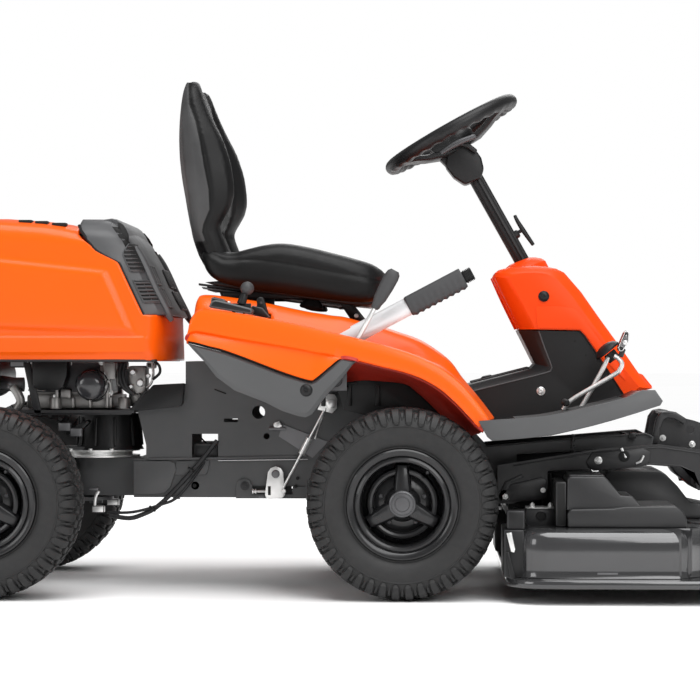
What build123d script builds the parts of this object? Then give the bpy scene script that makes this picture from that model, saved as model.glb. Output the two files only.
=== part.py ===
from build123d import *
import math
import os

# Riding lawn mower with a front cutting deck and steered rear wheels.
# Millimetres. +X forward, +Y to the rider's left, +Z up, ground at zero.
# Every outline below is drawn from the ground point under the front axle;
# the finished parts are moved forward so that the origin is the middle of
# the machine's footprint.

# ---- driving dimensions --------------------------------------------------
ORIGIN_TO_AXLE = 146.0        # front axle ahead of the footprint's middle
WHEELBASE = 885.0
TYRE_RADIUS = 203.5
TYRE_HALF_WIDTH = 85.0
WHEEL_OFFSET = 360.0          # wheel centre from the middle plane
RIM_SEAT_RADIUS = 102.0
AXLE_RADIUS = 12.7
RUNNING_GAP = 0.05            # radial clearance of every turning fit
SHEET = 4.0                   # steel and moulding wall thickness
FRAME_HALF = 118.0            # inner face of the frame side plates
BODY_HALF = 400.0             # outer face of the fenders
TOP_HALF = 250.0              # level middle part of the body top
HOOD_HALF = 265.0
VENT_HALF = 205.0
COWL_HALF = 115.0
TUNNEL_HALF = 108.0
SEAT_HALF = 240.0
DECK_SKIRT_BOTTOM = 34.0
DECK_TOP = 155.0
ARM_Y = 196.0                  # equipment frame arm from the middle plane
STEER_PIVOT_X = -700.0
STEER_PIVOT_RADIUS = 15.0
LIFT_PIVOT = (220.0, 210.0)   # x, z of the equipment frame's cross shaft
LIFT_SHAFT_RADIUS = 12.5
WHEEL_CENTRE = (108.0, 1012.0)  # x, z of the steering wheel's centre
COLUMN_ANGLE = 60.8           # column above horizontal, leaning back
HOOD_HINGE = (-1125.0, 515.0)
HOOD_PIN_RADIUS = 6.0
SEAT_HINGE = (-105.0, 603.0)
SEAT_PIN_RADIUS = 5.0
SEAT_SLOPE = 7.8              # rails fall this much towards the front
RAIL_START = (-447.0, 669.0)
LEVER_Y = -325.0
LIFT_LEVER_PIVOT = (-207.0, 503.0)
LIFT_LEVER_ANGLE = 27.8
LIFT_PIN_RADIUS = 8.0
GRIP_FROM = 250.0              # lift lever grip, from the lever's pivot
GRIP_TO = 381.0
HEIGHT_Y = -372.0
HEIGHT_PIVOT = (-142.0, 463.0)
HEIGHT_ANGLE = 61.4
HEIGHT_PIN_RADIUS = 6.0
THROTTLE_Y = -352.0
THROTTLE_PIVOT = (-345.0, 597.0)
CHOKE_Y = -298.0
CHOKE_PIVOT = (-301.0, 606.0)
SMALL_PIN_RADIUS = 5.0
PEDAL_SHAFT = (352.0, 413.0)
PEDAL_SHAFT_RADIUS = 6.0
CRANK_PIVOT = (-283.0, 253.0)
CRANK_PIN_RADIUS = 6.0
LINK_PIN = (-265.0, 224.0)
LINK_RADIUS = 3.0
SIDE_HOLE = (-322.0, 389.0)
SIDE_HOLE_RADIUS = 14.5
BLADE_SPOTS = {"left": (430.0, 305.0), "center": (620.0, 0.0), "right": (430.0, -305.0)}
BLADE_RADIUS = 165.0
SPINDLE_RADIUS = 12.5
BLADE_Z = 62.0


# ---- helpers -------------------------------------------------------------
def face_xz(points, y):
    return make_face(Polyline(*[(x, y, z) for x, z in points], close=True))


def xz_solid(points, y_from, y_to):
    """Outline in the side view, extruded across the machine."""
    return extrude(face_xz(points, y_from), amount=y_to - y_from, dir=(0, 1, 0))


def xy_solid(points, z_from, z_to):
    """Outline in the plan view, extruded upwards."""
    face = make_face(Polyline(*[(x, y, z_from) for x, y in points], close=True))
    return extrude(face, amount=z_to - z_from, dir=(0, 0, 1))


def yz_solid(points, x_from, x_to):
    """Outline in the front view, extruded forwards."""
    face = make_face(Polyline(*[(x_from, y, z) for y, z in points], close=True))
    return extrude(face, amount=x_to - x_from, dir=(1, 0, 0))


def block(x_from, x_to, y_from, y_to, z_from, z_to):
    centre = ((x_from + x_to) / 2, (y_from + y_to) / 2, (z_from + z_to) / 2)
    return Pos(*centre) * Box(x_to - x_from, y_to - y_from, z_to - z_from)


def rod(start, end, radius, end_radius=None):
    """Round bar, or a cone when an end radius is given."""
    axis = Vector(*end) - Vector(*start)
    plane = Plane(origin=start, z_dir=axis)
    if end_radius is None:
        return plane * Cylinder(radius, axis.length, align=(Align.CENTER, Align.CENTER, Align.MIN))
    return plane * Cone(radius, end_radius, axis.length, align=(Align.CENTER, Align.CENTER, Align.MIN))


def cross_rod(spot, y_from, y_to, radius):
    """Round bar across the machine at a side-view spot."""
    return rod((spot[0], y_from, spot[1]), (spot[0], y_to, spot[1]), radius)


def bent_rod(points, radius):
    body = rod(points[0], points[1], radius)
    for start, end in zip(points[1:], points[2:]):
        body += Pos(*start) * Sphere(radius)
        body += rod(start, end, radius)
    return body


def curved_rod(points, radius):
    """Round bar along a smooth curve."""
    path = Spline(*[Vector(*point) for point in points])
    start = Plane(origin=path @ 0, z_dir=path % 0)
    return sweep(start * Circle(radius), path=path)


def both_sides(shape):
    return shape + mirror(shape, about=Plane.XZ)


def along(spot, angle, distance, side=0.0):
    """Side-view spot a distance along a direction, and sideways from it."""
    turn = math.radians(angle)
    x = spot[0] + distance * math.cos(turn) - side * math.sin(turn)
    z = spot[1] + distance * math.sin(turn) + side * math.cos(turn)
    return (x, z)


def hollow_xz(points, half_width, wall):
    """Side-view outline across the machine, hollowed to an even wall."""
    outer = xz_solid(points, -half_width, half_width)
    inner_face = offset(face_xz(points, -half_width + wall), amount=-wall, kind=Kind.INTERSECTION)
    return outer - extrude(inner_face, amount=2 * (half_width - wall), dir=(0, 1, 0))


def frame_point(spot, y):
    return (spot[0], y, spot[1])


def largest_solids(shape, count):
    """The biggest solids of a cut shape, without slivers."""
    solids = sorted(shape.solids(), key=lambda one: one.volume, reverse=True)
    if count == 1:
        return solids[0]
    return Compound(children=solids[:count])


# ---- wheels --------------------------------------------------------------
def tyre(x, side):
    bead = 60.0
    half = TYRE_HALF_WIDTH
    shoulder = (202.0, 46.0)
    outline = [
        Line((RIM_SEAT_RADIUS, -bead), (117, -bead)),
        ThreePointArc((117, -bead), (150, -half), (184, -76)),
        ThreePointArc((184, -76), (197, -64), (shoulder[0], -shoulder[1])),
        ThreePointArc((shoulder[0], -shoulder[1]), (TYRE_RADIUS, 0), shoulder),
        ThreePointArc(shoulder, (197, 64), (184, 76)),
        ThreePointArc((184, 76), (150, half), (117, bead)),
        Line((117, bead), (RIM_SEAT_RADIUS, bead)),
        Line((RIM_SEAT_RADIUS, bead), (RIM_SEAT_RADIUS, bead - 12)),
        Polyline((RIM_SEAT_RADIUS, bead - 12), (150, 70), (186, 54), (186, -54), (150, -70),
                 (RIM_SEAT_RADIUS, -bead + 12)),
        Line((RIM_SEAT_RADIUS, -bead + 12), (RIM_SEAT_RADIUS, -bead)),
    ]
    profile = make_face(Wire(all_edges(outline)))
    body = revolve(profile, axis=Axis.Y)
    return Pos(x, side * WHEEL_OFFSET, TYRE_RADIUS) * body


def all_edges(curves):
    edges = []
    for curve in curves:
        edges.extend(curve.edges())
    return edges


def spoke_window(angle):
    """Curved window between two spokes of the wheel disc."""
    inner, outer, half = 47.0, 76.0, 38.0
    steps = [-half, -half / 2, 0, half / 2, half]
    points = []
    for step in steps:
        turn = math.radians(angle + step)
        points.append((outer * math.cos(turn), outer * math.sin(turn)))
    for step in reversed(steps):
        turn = math.radians(angle + step * 0.86)
        points.append((inner * math.cos(turn), inner * math.sin(turn)))
    return xz_solid(points, -100, 100)


def rim(x, side):
    half = 66.0
    flange = 115.0
    disc_from, disc_to = 24.0, 30.0
    barrel = cross_rod((0, 0), -half, half, RIM_SEAT_RADIUS)
    barrel += cross_rod((0, 0), 60, half, flange)
    barrel += cross_rod((0, 0), -half, -60, flange)
    barrel -= cross_rod((0, 0), -half, half, RIM_SEAT_RADIUS - 6)
    disc = cross_rod((0, 0), disc_from, disc_to, RIM_SEAT_RADIUS - 2)
    for angle in (-90, 30, 150):
        disc -= spoke_window(angle)
    hub = cross_rod((0, 0), -60, 52, 33)
    hub -= cross_rod((0, 0), -60, 42, AXLE_RADIUS + RUNNING_GAP)
    disc -= cross_rod((0, 0), disc_from, disc_to, 20)
    body = barrel + disc + hub
    if side < 0:
        body = mirror(body, about=Plane.XZ)
    return Pos(x, side * WHEEL_OFFSET, TYRE_RADIUS) * body


# ---- frame ---------------------------------------------------------------
def frame_plates():
    outline = [(-484, 502), (-484, 453), (-591, 392), (-572, 316), (-572, 285), (190, 285),
               (190, 192), (250, 192), (250, 297), (548, 316), (552, 336), (533, 343), (184, 314),
               (150, 350), (120, 400), (-100, 430), (-140, 502)]
    plate = xz_solid(outline, -FRAME_HALF - SHEET, -FRAME_HALF)
    plate -= cross_rod(SIDE_HOLE, -FRAME_HALF - 10, -FRAME_HALF + 10, SIDE_HOLE_RADIUS)
    plate -= xz_solid([(-399, 367), (-368, 367), (-368, 375), (-399, 375)], -130, -110)
    plate -= xz_solid([(-470, 285), (-412, 285), (-412, 341), (-470, 341)], -130, -110)
    plate -= cross_rod((-304, 336), -130, -110, 7)
    plate -= cross_rod(LIFT_PIVOT, -130, -110, LIFT_SHAFT_RADIUS + RUNNING_GAP)
    plates = both_sides(plate)
    plates += block(-484, -480, -FRAME_HALF, FRAME_HALF, 453, 502)
    plates += block(-30, 30, -FRAME_HALF, FRAME_HALF, 396, 400)
    plates += block(500, 504, -FRAME_HALF, FRAME_HALF, 325, 339)
    return plates


def lower_beam():
    wide = block(-600, 230, -FRAME_HALF, FRAME_HALF, 200, 285)
    wide -= block(-596, 226, -FRAME_HALF + SHEET, FRAME_HALF - SHEET, 204, 281)
    wide -= block(-120, 240, -200, 200, 190, 235)
    wide += block(-120, 230, -FRAME_HALF, FRAME_HALF, 235, 239)
    wide += block(-124, -120, -FRAME_HALF, FRAME_HALF, 200, 239)
    half = 45.0
    tongue = block(STEER_PIVOT_X, -596, -half, half, 200, 285)
    tongue += rod((STEER_PIVOT_X, 0, 200), (STEER_PIVOT_X, 0, 285), half)
    tongue -= rod((STEER_PIVOT_X, 0, 190), (STEER_PIVOT_X, 0, 300), STEER_PIVOT_RADIUS + RUNNING_GAP)
    beam = wide + tongue
    for side in (-1, 1):
        y_from, y_to = side * FRAME_HALF - 8, side * FRAME_HALF + 8
        beam -= cross_rod((-463, 226), y_from, y_to, 9)
        slot = xz_solid([(-338, 207), (-245, 207), (-245, 224), (-338, 224)], y_from, y_to)
        beam -= slot
    beam += cross_rod(CRANK_PIVOT, -FRAME_HALF - 24, -FRAME_HALF, CRANK_PIN_RADIUS)
    return beam


def front_axle():
    axle = block(-32, 32, -245, 245, 178, 235)
    for side in (-1, 1):
        axle += cross_rod((0, TYRE_RADIUS), side * 245, side * (WHEEL_OFFSET + 40), AXLE_RADIUS)
    return axle


def engine_plate():
    plate = xy_solid([(-900, -150), (-596, -150), (-596, 150), (-900, 150), (-900, 90),
                      (-1135, 90), (-1135, -90), (-900, -90)], 388, 394)
    for y in (-88, 60):
        lug = block(-1135, -1115, y, y + 28, 394, 500)
        lug += cross_rod(HOOD_HINGE, y, y + 28, 16)
        lug -= cross_rod(HOOD_HINGE, y - 1, y + 29, HOOD_PIN_RADIUS + RUNNING_GAP)
        plate += lug
    for y in (-108, 98):
        plate += block(-596, -520, y, y + 10, 388, 398)
    return plate


def pulley_housing():
    """Tapered drive housing between the engine plate and the steering ring."""
    return rod((STEER_PIVOT_X + 25, 0, 388), (STEER_PIVOT_X + 25, 0, 314), 66, 52)


# ---- engine --------------------------------------------------------------
def engine_block():
    body = block(-850, -642, -110, 110, 394, 510)
    body += rod((-745, 0, 510), (-745, 0, 522), 100)
    for side in (-1, 1):
        body += cross_rod((-790, 462), side * 110, side * 150, 38)
    body += block(-830, -735, -150, -110, 440, 500)
    for x in (-835, -650):
        body += block(x - 15, x + 15, -135, 135, 394, 412)
    return body + pulley_housing()


def blower_housing():
    body = rod((-745, 0, 522), (-745, 0, 600), 140, 120)
    body += block(-830, -660, -95, 95, 600, 700)
    return body


def oil_filter():
    spot = (-690, 450)
    body = cross_rod(spot, -186, -110, 35)
    body += cross_rod(spot, -192, -186, 26)
    return body


def carburettor():
    body = block(-642, -588, -60, 40, 430, 486)
    body += rod((-588, -30, 458), (-556, -30, 458), 24)
    body += cross_rod((-612, 460), -118, -60, 26)
    body += bent_rod([(-612, -100, 486), (-600, -100, 505), (-575, -100, 500), (-562, -100, 470)], 7)
    return body


def muffler():
    body = cross_rod((-955, 470), -120, 120, 52)
    body += bent_rod([(-910, -60, 455), (-875, -90, 450), (-850, -90, 450)], 16)
    body += bent_rod([(-955, -120, 450), (-955, -165, 450), (-930, -180, 425)], 14)
    body -= block(-850, -642, -110, 110, 394, 510)
    body += block(-975, -935, -60, 60, 394, 425)
    return body


def battery():
    body = block(-1092, -1017, -80, 80, 394, 560)
    body += rod((-1070, -55, 560), (-1070, -55, 572), 8)
    body += rod((-1070, 55, 560), (-1070, 55, 572), 8)
    return body


def fuel_tank():
    body = xz_solid([(-400, 505), (-180, 505), (-180, 560), (-230, 590), (-400, 600)], -110, 110)
    body += rod((-330, 0, 590), (-330, 0, 628), 25)
    body = body - rod((-330, 0, 540), (-330, 0, 628), 20)
    return body


def fuel_cap():
    body = rod((-330, 0, 604), (-330, 0, 646), 36)
    body -= rod((-330, 0, 604), (-330, 0, 632), 25 + RUNNING_GAP)
    return body


# ---- rear axle unit ------------------------------------------------------
def rear_yoke():
    x = STEER_PIVOT_X
    half = 60.0
    top = block(-960, x, -half, half, 303, 309) + rod((x, 0, 303), (x, 0, 309), half)
    bottom = block(-830, x, -half, half, 188, 196) + rod((x, 0, 188), (x, 0, 196), 40)
    pin = rod((x, 0, 180), (x, 0, 309), STEER_PIVOT_RADIUS)
    wall = block(-778, -768, -half, half, 188, 309)
    rear = block(-960, -945, -half, half, 282, 303)
    return top + bottom + pin + wall + rear


def steering_ring():
    x = STEER_PIVOT_X
    ring = rod((x, 0, 287), (x, 0, 303), 84)
    ring += rod((x, 0, 287), (x, 0, 290), 100)
    ring += rod((x, 0, 300), (x, 0, 303), 100)
    ring -= rod((x, 0, 280), (x, 0, 310), STEER_PIVOT_RADIUS)
    ring -= block(-790, -762, -61, 61, 280, 310)
    return largest_solids(ring, 1)


def transaxle():
    body = block(-955, -830, -120, 120, 150, 282)
    body += cross_rod((-WHEELBASE, TYRE_RADIUS), -262, 262, 32)
    body += cross_rod((-WHEELBASE, TYRE_RADIUS), -WHEEL_OFFSET - 40, WHEEL_OFFSET + 40, AXLE_RADIUS)
    body -= block(-832, -700, -60, 60, 187, 197)
    return body


# ---- body panels ---------------------------------------------------------
CREST = [(-455, 548), (-452, 600), (-443, 640), (-425, 646), (-317, 631), (-184, 604), (-123, 596),
         (-63, 580), (-17, 566), (40, 545), (98, 505), (135, 457), (200, 376)]
EDGE = [(-455, 546), (-450, 582), (-436, 606), (-408, 613), (-315, 599), (-208, 577), (-96, 551),
        (-28, 534), (28, 515), (68, 497), (110, 470), (150, 428), (184, 380)]
SEAM = [(-455, 546), (-372, 525), (-252, 480), (-193, 463), (-155, 489), (-123, 510), (-47, 492),
        (-1, 481), (41, 466), (79, 444), (110, 417), (138, 388), (157, 367), (178, 350), (184, 380)]


def strip(line, drop):
    """Closed outline of a thin skin hanging below a side-view line."""
    return line + [(x, z - drop) for x, z in reversed(line)]


def body_shell():
    skin = 5.0
    outer_y = -BODY_HALF
    slope = loft([face_xz(strip(EDGE, skin), outer_y), face_xz(strip(CREST, skin), -TOP_HALF)],
                 ruled=True)
    middle = xz_solid(strip(CREST, skin), -TOP_HALF, TOP_HALF)
    side_outline = SEAM[:-1] + [(184, 380)] + list(reversed(EDGE[1:-1]))
    side = xz_solid(side_outline, outer_y, outer_y + SHEET)
    shell = middle + slope + mirror(slope, about=Plane.XZ) + side + mirror(side, about=Plane.XZ)
    shell -= block(-240, -60, LEVER_Y - 24, LEVER_Y + 24, 480, 660)
    shell -= block(-205, 10, HEIGHT_Y - 10, HEIGHT_Y + 14, 500, 660)
    shell -= console_pocket()
    shell -= block(-324, -276, CHOKE_Y - 12, CHOKE_Y + 12, 560, 660)
    shell -= rod((-330, 0, 600), (-330, 0, 660), 42)
    for y in (-134, 120):
        lug = block(-122, -88, y, y + 14, 582, 614)
        lug -= cross_rod(SEAT_HINGE, y - 1, y + 15, SEAT_PIN_RADIUS + RUNNING_GAP)
        shell += lug
    shell -= block(100, 260, -TUNNEL_HALF - 6, TUNNEL_HALF + 6, 330, 470)
    return largest_solids(shell, 1)


def console_pocket():
    return block(-414, -318, THROTTLE_Y - 36, THROTTLE_Y + 36, 580, 660)


def console():
    top = xz_solid([(-414, 622), (-414, 630), (-318, 616), (-318, 600), (-330, 600)],
                   THROTTLE_Y - 36, THROTTLE_Y + 36)
    top -= block(-362, -322, THROTTLE_Y - 5, THROTTLE_Y + 5, 590, 650)
    top += block(-405, -372, THROTTLE_Y - 26, THROTTLE_Y + 26, 618, 634)
    return top


def side_covers():
    outline = [(-453, 541), (-441, 527), (-417, 502), (-392, 470), (-354, 442), (-286, 415),
               (-252, 398), (-221, 388), (-204, 385), (-191, 391), (-178, 408), (-155, 437),
               (-132, 461), (-104, 497), (-98, 502), (-123, 508), (-155, 486), (-193, 460),
               (-252, 477), (-372, 522)]
    cover = xz_solid(outline, -BODY_HALF, -BODY_HALF + 6)
    return both_sides(cover)


def cowl():
    outline = [(200, 690), (206, 704), (237, 714), (262, 731), (292, 731), (316, 713), (339, 709),
               (357, 700), (395, 656), (434, 600), (465, 557), (496, 514), (525, 472), (553, 442),
               (491, 424), (434, 512), (401, 560), (390, 570), (257, 573)]
    shell = hollow_xz(outline, COWL_HALF, SHEET)
    shell -= xz_solid([(270, 568), (382, 568), (395, 556), (430, 505), (487, 418), (548, 438),
                       (520, 466), (420, 600), (300, 600)], -COWL_HALF + SHEET, COWL_HALF - SHEET)
    top, low = column_spot(-250), column_spot(-460)
    shell -= rod(frame_point(top, 0), frame_point(low, 0), 21)
    return largest_solids(shell, 1)


def tunnel_panels():
    outline = [(254, 571), (389, 568), (399, 558), (432, 510), (489, 423), (489, 400), (440, 376),
               (360, 352), (130, 352), (130, 448), (290, 490)]
    shell = hollow_xz(outline, TUNNEL_HALF, SHEET)
    shell -= block(90, 485, -TUNNEL_HALF + SHEET, TUNNEL_HALF - SHEET, 340, 360)
    shell -= rod(frame_point(column_spot(-460), 0), frame_point(column_spot(-700), 0), 21)
    return largest_solids(shell, 1)


def foot_plates():
    top = [(160, 377), (194, 380), (297, 388), (385, 407), (470, 428), (502, 443), (529, 443)]
    low = [(545, 420), (540, 411), (443, 380), (355, 357), (311, 347), (188, 336), (176, 346)]
    skirt = xz_solid(top + low, -BODY_HALF - 6, -BODY_HALF - 2)
    sheet = xz_solid(strip(top, SHEET), -BODY_HALF - 4, -COWL_HALF - 8)
    sheet -= block(150, 206, -BODY_HALF - 2, 0, 300, 400)
    plate = skirt + sheet
    for y in (-262, -172):
        plate += block(340, 364, y, y + 6, 394, 424)
    plate += cross_rod(PEDAL_SHAFT, -262, -166, PEDAL_SHAFT_RADIUS)
    return both_sides(plate)


def cover_screws():
    spots = [(-202, 442, BODY_HALF, 11), (312, 646, COWL_HALF, 10), (304, 436, TUNNEL_HALF, 8)]
    screws = []
    for x, z, y, radius in spots:
        for side in (-1, 1):
            screws.append(cross_rod((x, z), side * y, side * (y + 5), radius))
    return Compound(children=[one.solids()[0] for one in screws])


def link_brackets():
    """Grey arm, stop bolt and lever carrier on the right of the frame."""
    y = -FRAME_HALF - SHEET
    arm = xz_solid([(-268, 362), (-168, 324), (-202, 288), (-277, 336)], y - 4, y)
    arm += rod((-298, y - 5, 353), (-262, y - 5, 353), 4)
    ear = xz_solid([(-176, 424), (-148, 420), (-150, 392), (-190, 396)], y - 4, y)
    carrier = block(-230, -120, -300, y, 440, 446)
    carrier += xz_solid([(-232, 440), (-120, 440), (-120, 478), (-190, 524), (-232, 524)], -306, -300)
    carrier += cross_rod(LIFT_LEVER_PIVOT, -346, -306, LIFT_PIN_RADIUS)
    carrier += cross_rod(HEIGHT_PIVOT, -386, -306, HEIGHT_PIN_RADIUS)
    return Compound(children=[arm.solids()[0], ear.solids()[0], carrier.solids()[0]])


def hoses():
    y = -FRAME_HALF - 14
    return curved_rod([(-632, y, 160), (-560, y, 178), (-500, y, 225), (-455, y, 290),
                       (-413, y, 327)], 6)


# ---- hood ----------------------------------------------------------------
VENT_LINE = [(-704, 791), (-665, 741), (-617, 717), (-563, 605), (-532, 602)]


def hood_section(wall):
    """Front-view outline of the hood with sloping shoulders, moved in by a wall."""
    half = HOOD_HALF - wall
    right = [(-half, 480), (-half, 760 - wall), (-half + 18, 786 - wall), (-half + 60, 806 - wall),
             (-half + 120, 840 - wall)]
    left = [(-y, z) for y, z in reversed(right)]
    return yz_solid(right + left, -1200, -500)


def hood():
    outline = [(-1145, 560), (-1160, 640), (-1150, 740), (-1105, 795), (-1040, 812), (-874, 813),
               (-786, 806)] + VENT_LINE + [(-530, 503), (-613, 505), (-873, 518), (-1090, 535)]
    inner_face = offset(face_xz(outline, -HOOD_HALF), amount=-SHEET, kind=Kind.INTERSECTION)
    inner = extrude(inner_face, amount=2 * HOOD_HALF, dir=(0, 1, 0)) & hood_section(SHEET)
    shell = (xz_solid(outline, -HOOD_HALF, HOOD_HALF) & hood_section(0)) - inner
    shell -= xz_solid([(-1108, 480), (-1108, 560), (-536, 560), (-536, 480)],
                      -HOOD_HALF + SHEET, HOOD_HALF - SHEET)
    for y in (-100, 92):
        ear = xz_solid([(-1146, 580), (-1138, 505), (-1112, 505), (-1112, 560), (-1130, 600)], y, y + 8)
        shell += ear
    shell += cross_rod(HOOD_HINGE, -100, 100, HOOD_PIN_RADIUS)
    return largest_solids(shell, 1)


def hood_vent():
    outline = VENT_LINE + [(-486, 606), (-497, 623), (-531, 706), (-572, 769), (-605, 810),
                           (-623, 817), (-671, 813), (-704, 800)]
    body = xz_solid(outline, -VENT_HALF, VENT_HALF)
    for step in range(4):
        x, z = -530 - step * 14, 700 + step * 22
        body -= block(x - 4, x + 60, -VENT_HALF + 20, VENT_HALF - 20, z, z + 9)
    return largest_solids(body, 1)


# ---- steering ------------------------------------------------------------
def column_spot(distance):
    """Side-view spot on the column axis, measured up from the wheel's centre."""
    return along(WHEEL_CENTRE, 180 - COLUMN_ANGLE, distance)


def column_bar(low, high, radius, end_radius=None):
    return rod(frame_point(column_spot(low), 0), frame_point(column_spot(high), 0), radius, end_radius)


def column_tube():
    tube = column_bar(-690, -165, 12)
    foot = column_spot(-685)
    saddle_half = TUNNEL_HALF - SHEET - 1
    tube += block(foot[0] - 12, foot[0] + 4, -30, 30, 392, foot[1])
    tube += block(foot[0] - 30, foot[0] + 9, -saddle_half, saddle_half, 388, 396)
    return tube


def column_sleeve():
    sleeve = column_bar(-365, -92, 17)
    sleeve += column_bar(-100, -84, 24)
    sleeve -= column_bar(-380, -120, 12 + RUNNING_GAP)
    boss_low = along(column_spot(-266), 90 - COLUMN_ANGLE, 0)
    boss_high = along(column_spot(-266), 90 - COLUMN_ANGLE, 24)
    boss = rod(frame_point(boss_low, 0), frame_point(boss_high, 0), 9)
    sleeve += boss - column_bar(-380, -120, 14)
    sleeve -= rod(frame_point(along(column_spot(-266), 90 - COLUMN_ANGLE, 14), 0),
                  frame_point(along(column_spot(-266), 90 - COLUMN_ANGLE, 30), 0),
                  4 + RUNNING_GAP)
    return largest_solids(sleeve, 1)


def column_knob():
    centre = column_spot(-266)
    stem = rod(frame_point(along(centre, 90 - COLUMN_ANGLE, 14.5), 0),
               frame_point(along(centre, 90 - COLUMN_ANGLE, 32), 0), 4)
    bar_centre = along(centre, 90 - COLUMN_ANGLE, 32)
    bar = rod(frame_point(along(bar_centre, 180 - COLUMN_ANGLE, -35), 0),
              frame_point(along(bar_centre, 180 - COLUMN_ANGLE, 35), 0), 7)
    return stem + bar


def steering_wheel():
    plane = Plane(origin=frame_point(WHEEL_CENTRE, 0),
                  z_dir=(-math.cos(math.radians(COLUMN_ANGLE)), 0, math.sin(math.radians(COLUMN_ANGLE))))
    rim_radius, grip = 152.0, 14.0
    wheel = plane * Torus(rim_radius, grip)
    hub_low = column_bar(-84, -20, 26, 34)
    wheel += hub_low
    wheel += column_bar(-20, 8, 38)
    for angle in (90, 210, 330):
        spoke = Rot(0, 0, angle) * Pos(92, 0, -4) * Box(110, 34, 9)
        wheel += plane * spoke
    wheel -= column_bar(-92, -84, 60)
    return wheel


# ---- seat ----------------------------------------------------------------
def seat_spot(distance, height):
    return along(RAIL_START, -SEAT_SLOPE, distance, height)


def seat_rails():
    bar = [seat_spot(0, -10), seat_spot(0, 0), seat_spot(325, 0), seat_spot(325, -10)]
    ear = [seat_spot(312, -10), seat_spot(325, -2), (-96, 614), (-96, 594), (-114, 594)]
    part = xz_solid(bar, -114, -95) + xz_solid(ear, -114, -95)
    part += cross_rod(SEAT_HINGE, -136, -112, SEAT_PIN_RADIUS)
    rails = both_sides(part)
    for distance in (12, 296):
        tie = [seat_spot(distance, -8), seat_spot(distance, -3), seat_spot(distance + 18, -3),
               seat_spot(distance + 18, -8)]
        rails += xz_solid(tie, -96, 96)
    return rails


def seat_pan():
    base = [seat_spot(34, 0.5), seat_spot(34, 6), seat_spot(385, 6), seat_spot(385, 0.5)]
    pan = xz_solid(base, -180, 180)
    back = [seat_spot(34, 0.5), seat_spot(20, 10), (-452, 700), (-474, 760), (-492, 860),
            (-504, 960), (-499, 960), (-486, 861), (-468, 762), (-447, 703), (-413, 682),
            seat_spot(50, 0.5)]
    pan += xz_solid(back, -150, 150)
    for y in (-140, 118):
        pan += xz_solid([seat_spot(60, -9), seat_spot(60, 1), seat_spot(260, 1), seat_spot(260, -9)],
                        y, y + 22) - both_sides(cross_rod(SEAT_HINGE, -150, -110, 12))
    return pan


def seat_cushion():
    outline = [seat_spot(55, 7), (-416, 700), (-412, 716), (-366, 745), (-338, 750), (-303, 758),
               (-271, 761), (-242, 760), (-187, 749), (-124, 733), (-77, 720), (-46, 708),
               (-35, 694), (-42, 660), (-58, 638), seat_spot(388, 7)]
    cushion = xz_solid(outline, -SEAT_HALF, SEAT_HALF)
    plan = xy_solid([(-440, -190), (-400, -SEAT_HALF), (-110, -SEAT_HALF), (-50, -205), (-30, -150),
                     (-30, 150), (-50, 205), (-110, SEAT_HALF), (-400, SEAT_HALF), (-440, 190)],
                    500, 900)
    return cushion & plan


def seat_back():
    outline = [(-476, 1113), (-454, 1116), (-434, 1100), (-419, 1065), (-399, 1026), (-372, 996),
               (-351, 927), (-338, 869), (-338, 842), (-372, 790), (-369, 750), (-417, 722),
               (-438, 712), (-444, 735), (-462, 777), (-478, 855), (-486, 906), (-492, 967),
               (-491, 1085)]
    back = xz_solid(outline, -230, 230)
    front = yz_solid([(-200, 700), (-225, 760), (-230, 880), (-222, 960), (-190, 1040), (-165, 1095),
                      (-130, 1120), (130, 1120), (165, 1095), (190, 1040), (222, 960), (230, 880),
                      (225, 760), (200, 700)], -600, -300)
    back = back & front
    return back


# ---- levers --------------------------------------------------------------
def lever_bar(low, high, radius, end_radius=None):
    start = frame_point(along(LIFT_LEVER_PIVOT, LIFT_LEVER_ANGLE, low), LEVER_Y)
    end = frame_point(along(LIFT_LEVER_PIVOT, LIFT_LEVER_ANGLE, high), LEVER_Y)
    return rod(start, end, radius, end_radius)


def lift_lever():
    lever = lever_bar(0, GRIP_TO - 8, 17)
    lever += cross_rod(LIFT_LEVER_PIVOT, LEVER_Y - 17, LEVER_Y + 17, 24)
    lever -= cross_rod(LIFT_LEVER_PIVOT, LEVER_Y - 30, LEVER_Y + 30, LIFT_PIN_RADIUS + RUNNING_GAP)
    lever -= lever_bar(GRIP_TO - 40, GRIP_TO, 8 + RUNNING_GAP)
    return lever


def lift_grip():
    grip = lever_bar(GRIP_FROM, GRIP_TO, 22)
    return grip - lever_bar(GRIP_FROM - 5, GRIP_TO - 8, 17) - lever_bar(GRIP_TO - 40, GRIP_TO + 1, 14.5)


def lift_button():
    stem = lever_bar(GRIP_TO - 30, GRIP_TO + 2, 8)
    collar = lever_bar(GRIP_TO, GRIP_TO + 5, 12)
    head = lever_bar(GRIP_TO + 4.5, GRIP_TO + 19, 16, 13)
    return stem + collar + head


def height_lever():
    def bar(low, high, radius, end_radius=None):
        start = frame_point(along(HEIGHT_PIVOT, HEIGHT_ANGLE, low), HEIGHT_Y)
        end = frame_point(along(HEIGHT_PIVOT, HEIGHT_ANGLE, high), HEIGHT_Y)
        return rod(start, end, radius, end_radius)
    lever = bar(0, 200, 5) + bar(178, 262, 11, 12.5)
    lever += cross_rod(HEIGHT_PIVOT, HEIGHT_Y - 8, HEIGHT_Y + 8, 14)
    lever -= cross_rod(HEIGHT_PIVOT, HEIGHT_Y - 20, HEIGHT_Y + 20, HEIGHT_PIN_RADIUS + RUNNING_GAP)
    return lever


def throttle_lever():
    lever = rod((-345, THROTTLE_Y, 596), (-333, THROTTLE_Y, 648), 3.5)
    lever += Pos(-330, THROTTLE_Y, 658) * Sphere(14)
    lever += cross_rod(THROTTLE_PIVOT, THROTTLE_Y - 10, THROTTLE_Y + 10, SMALL_PIN_RADIUS)
    return lever


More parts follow.
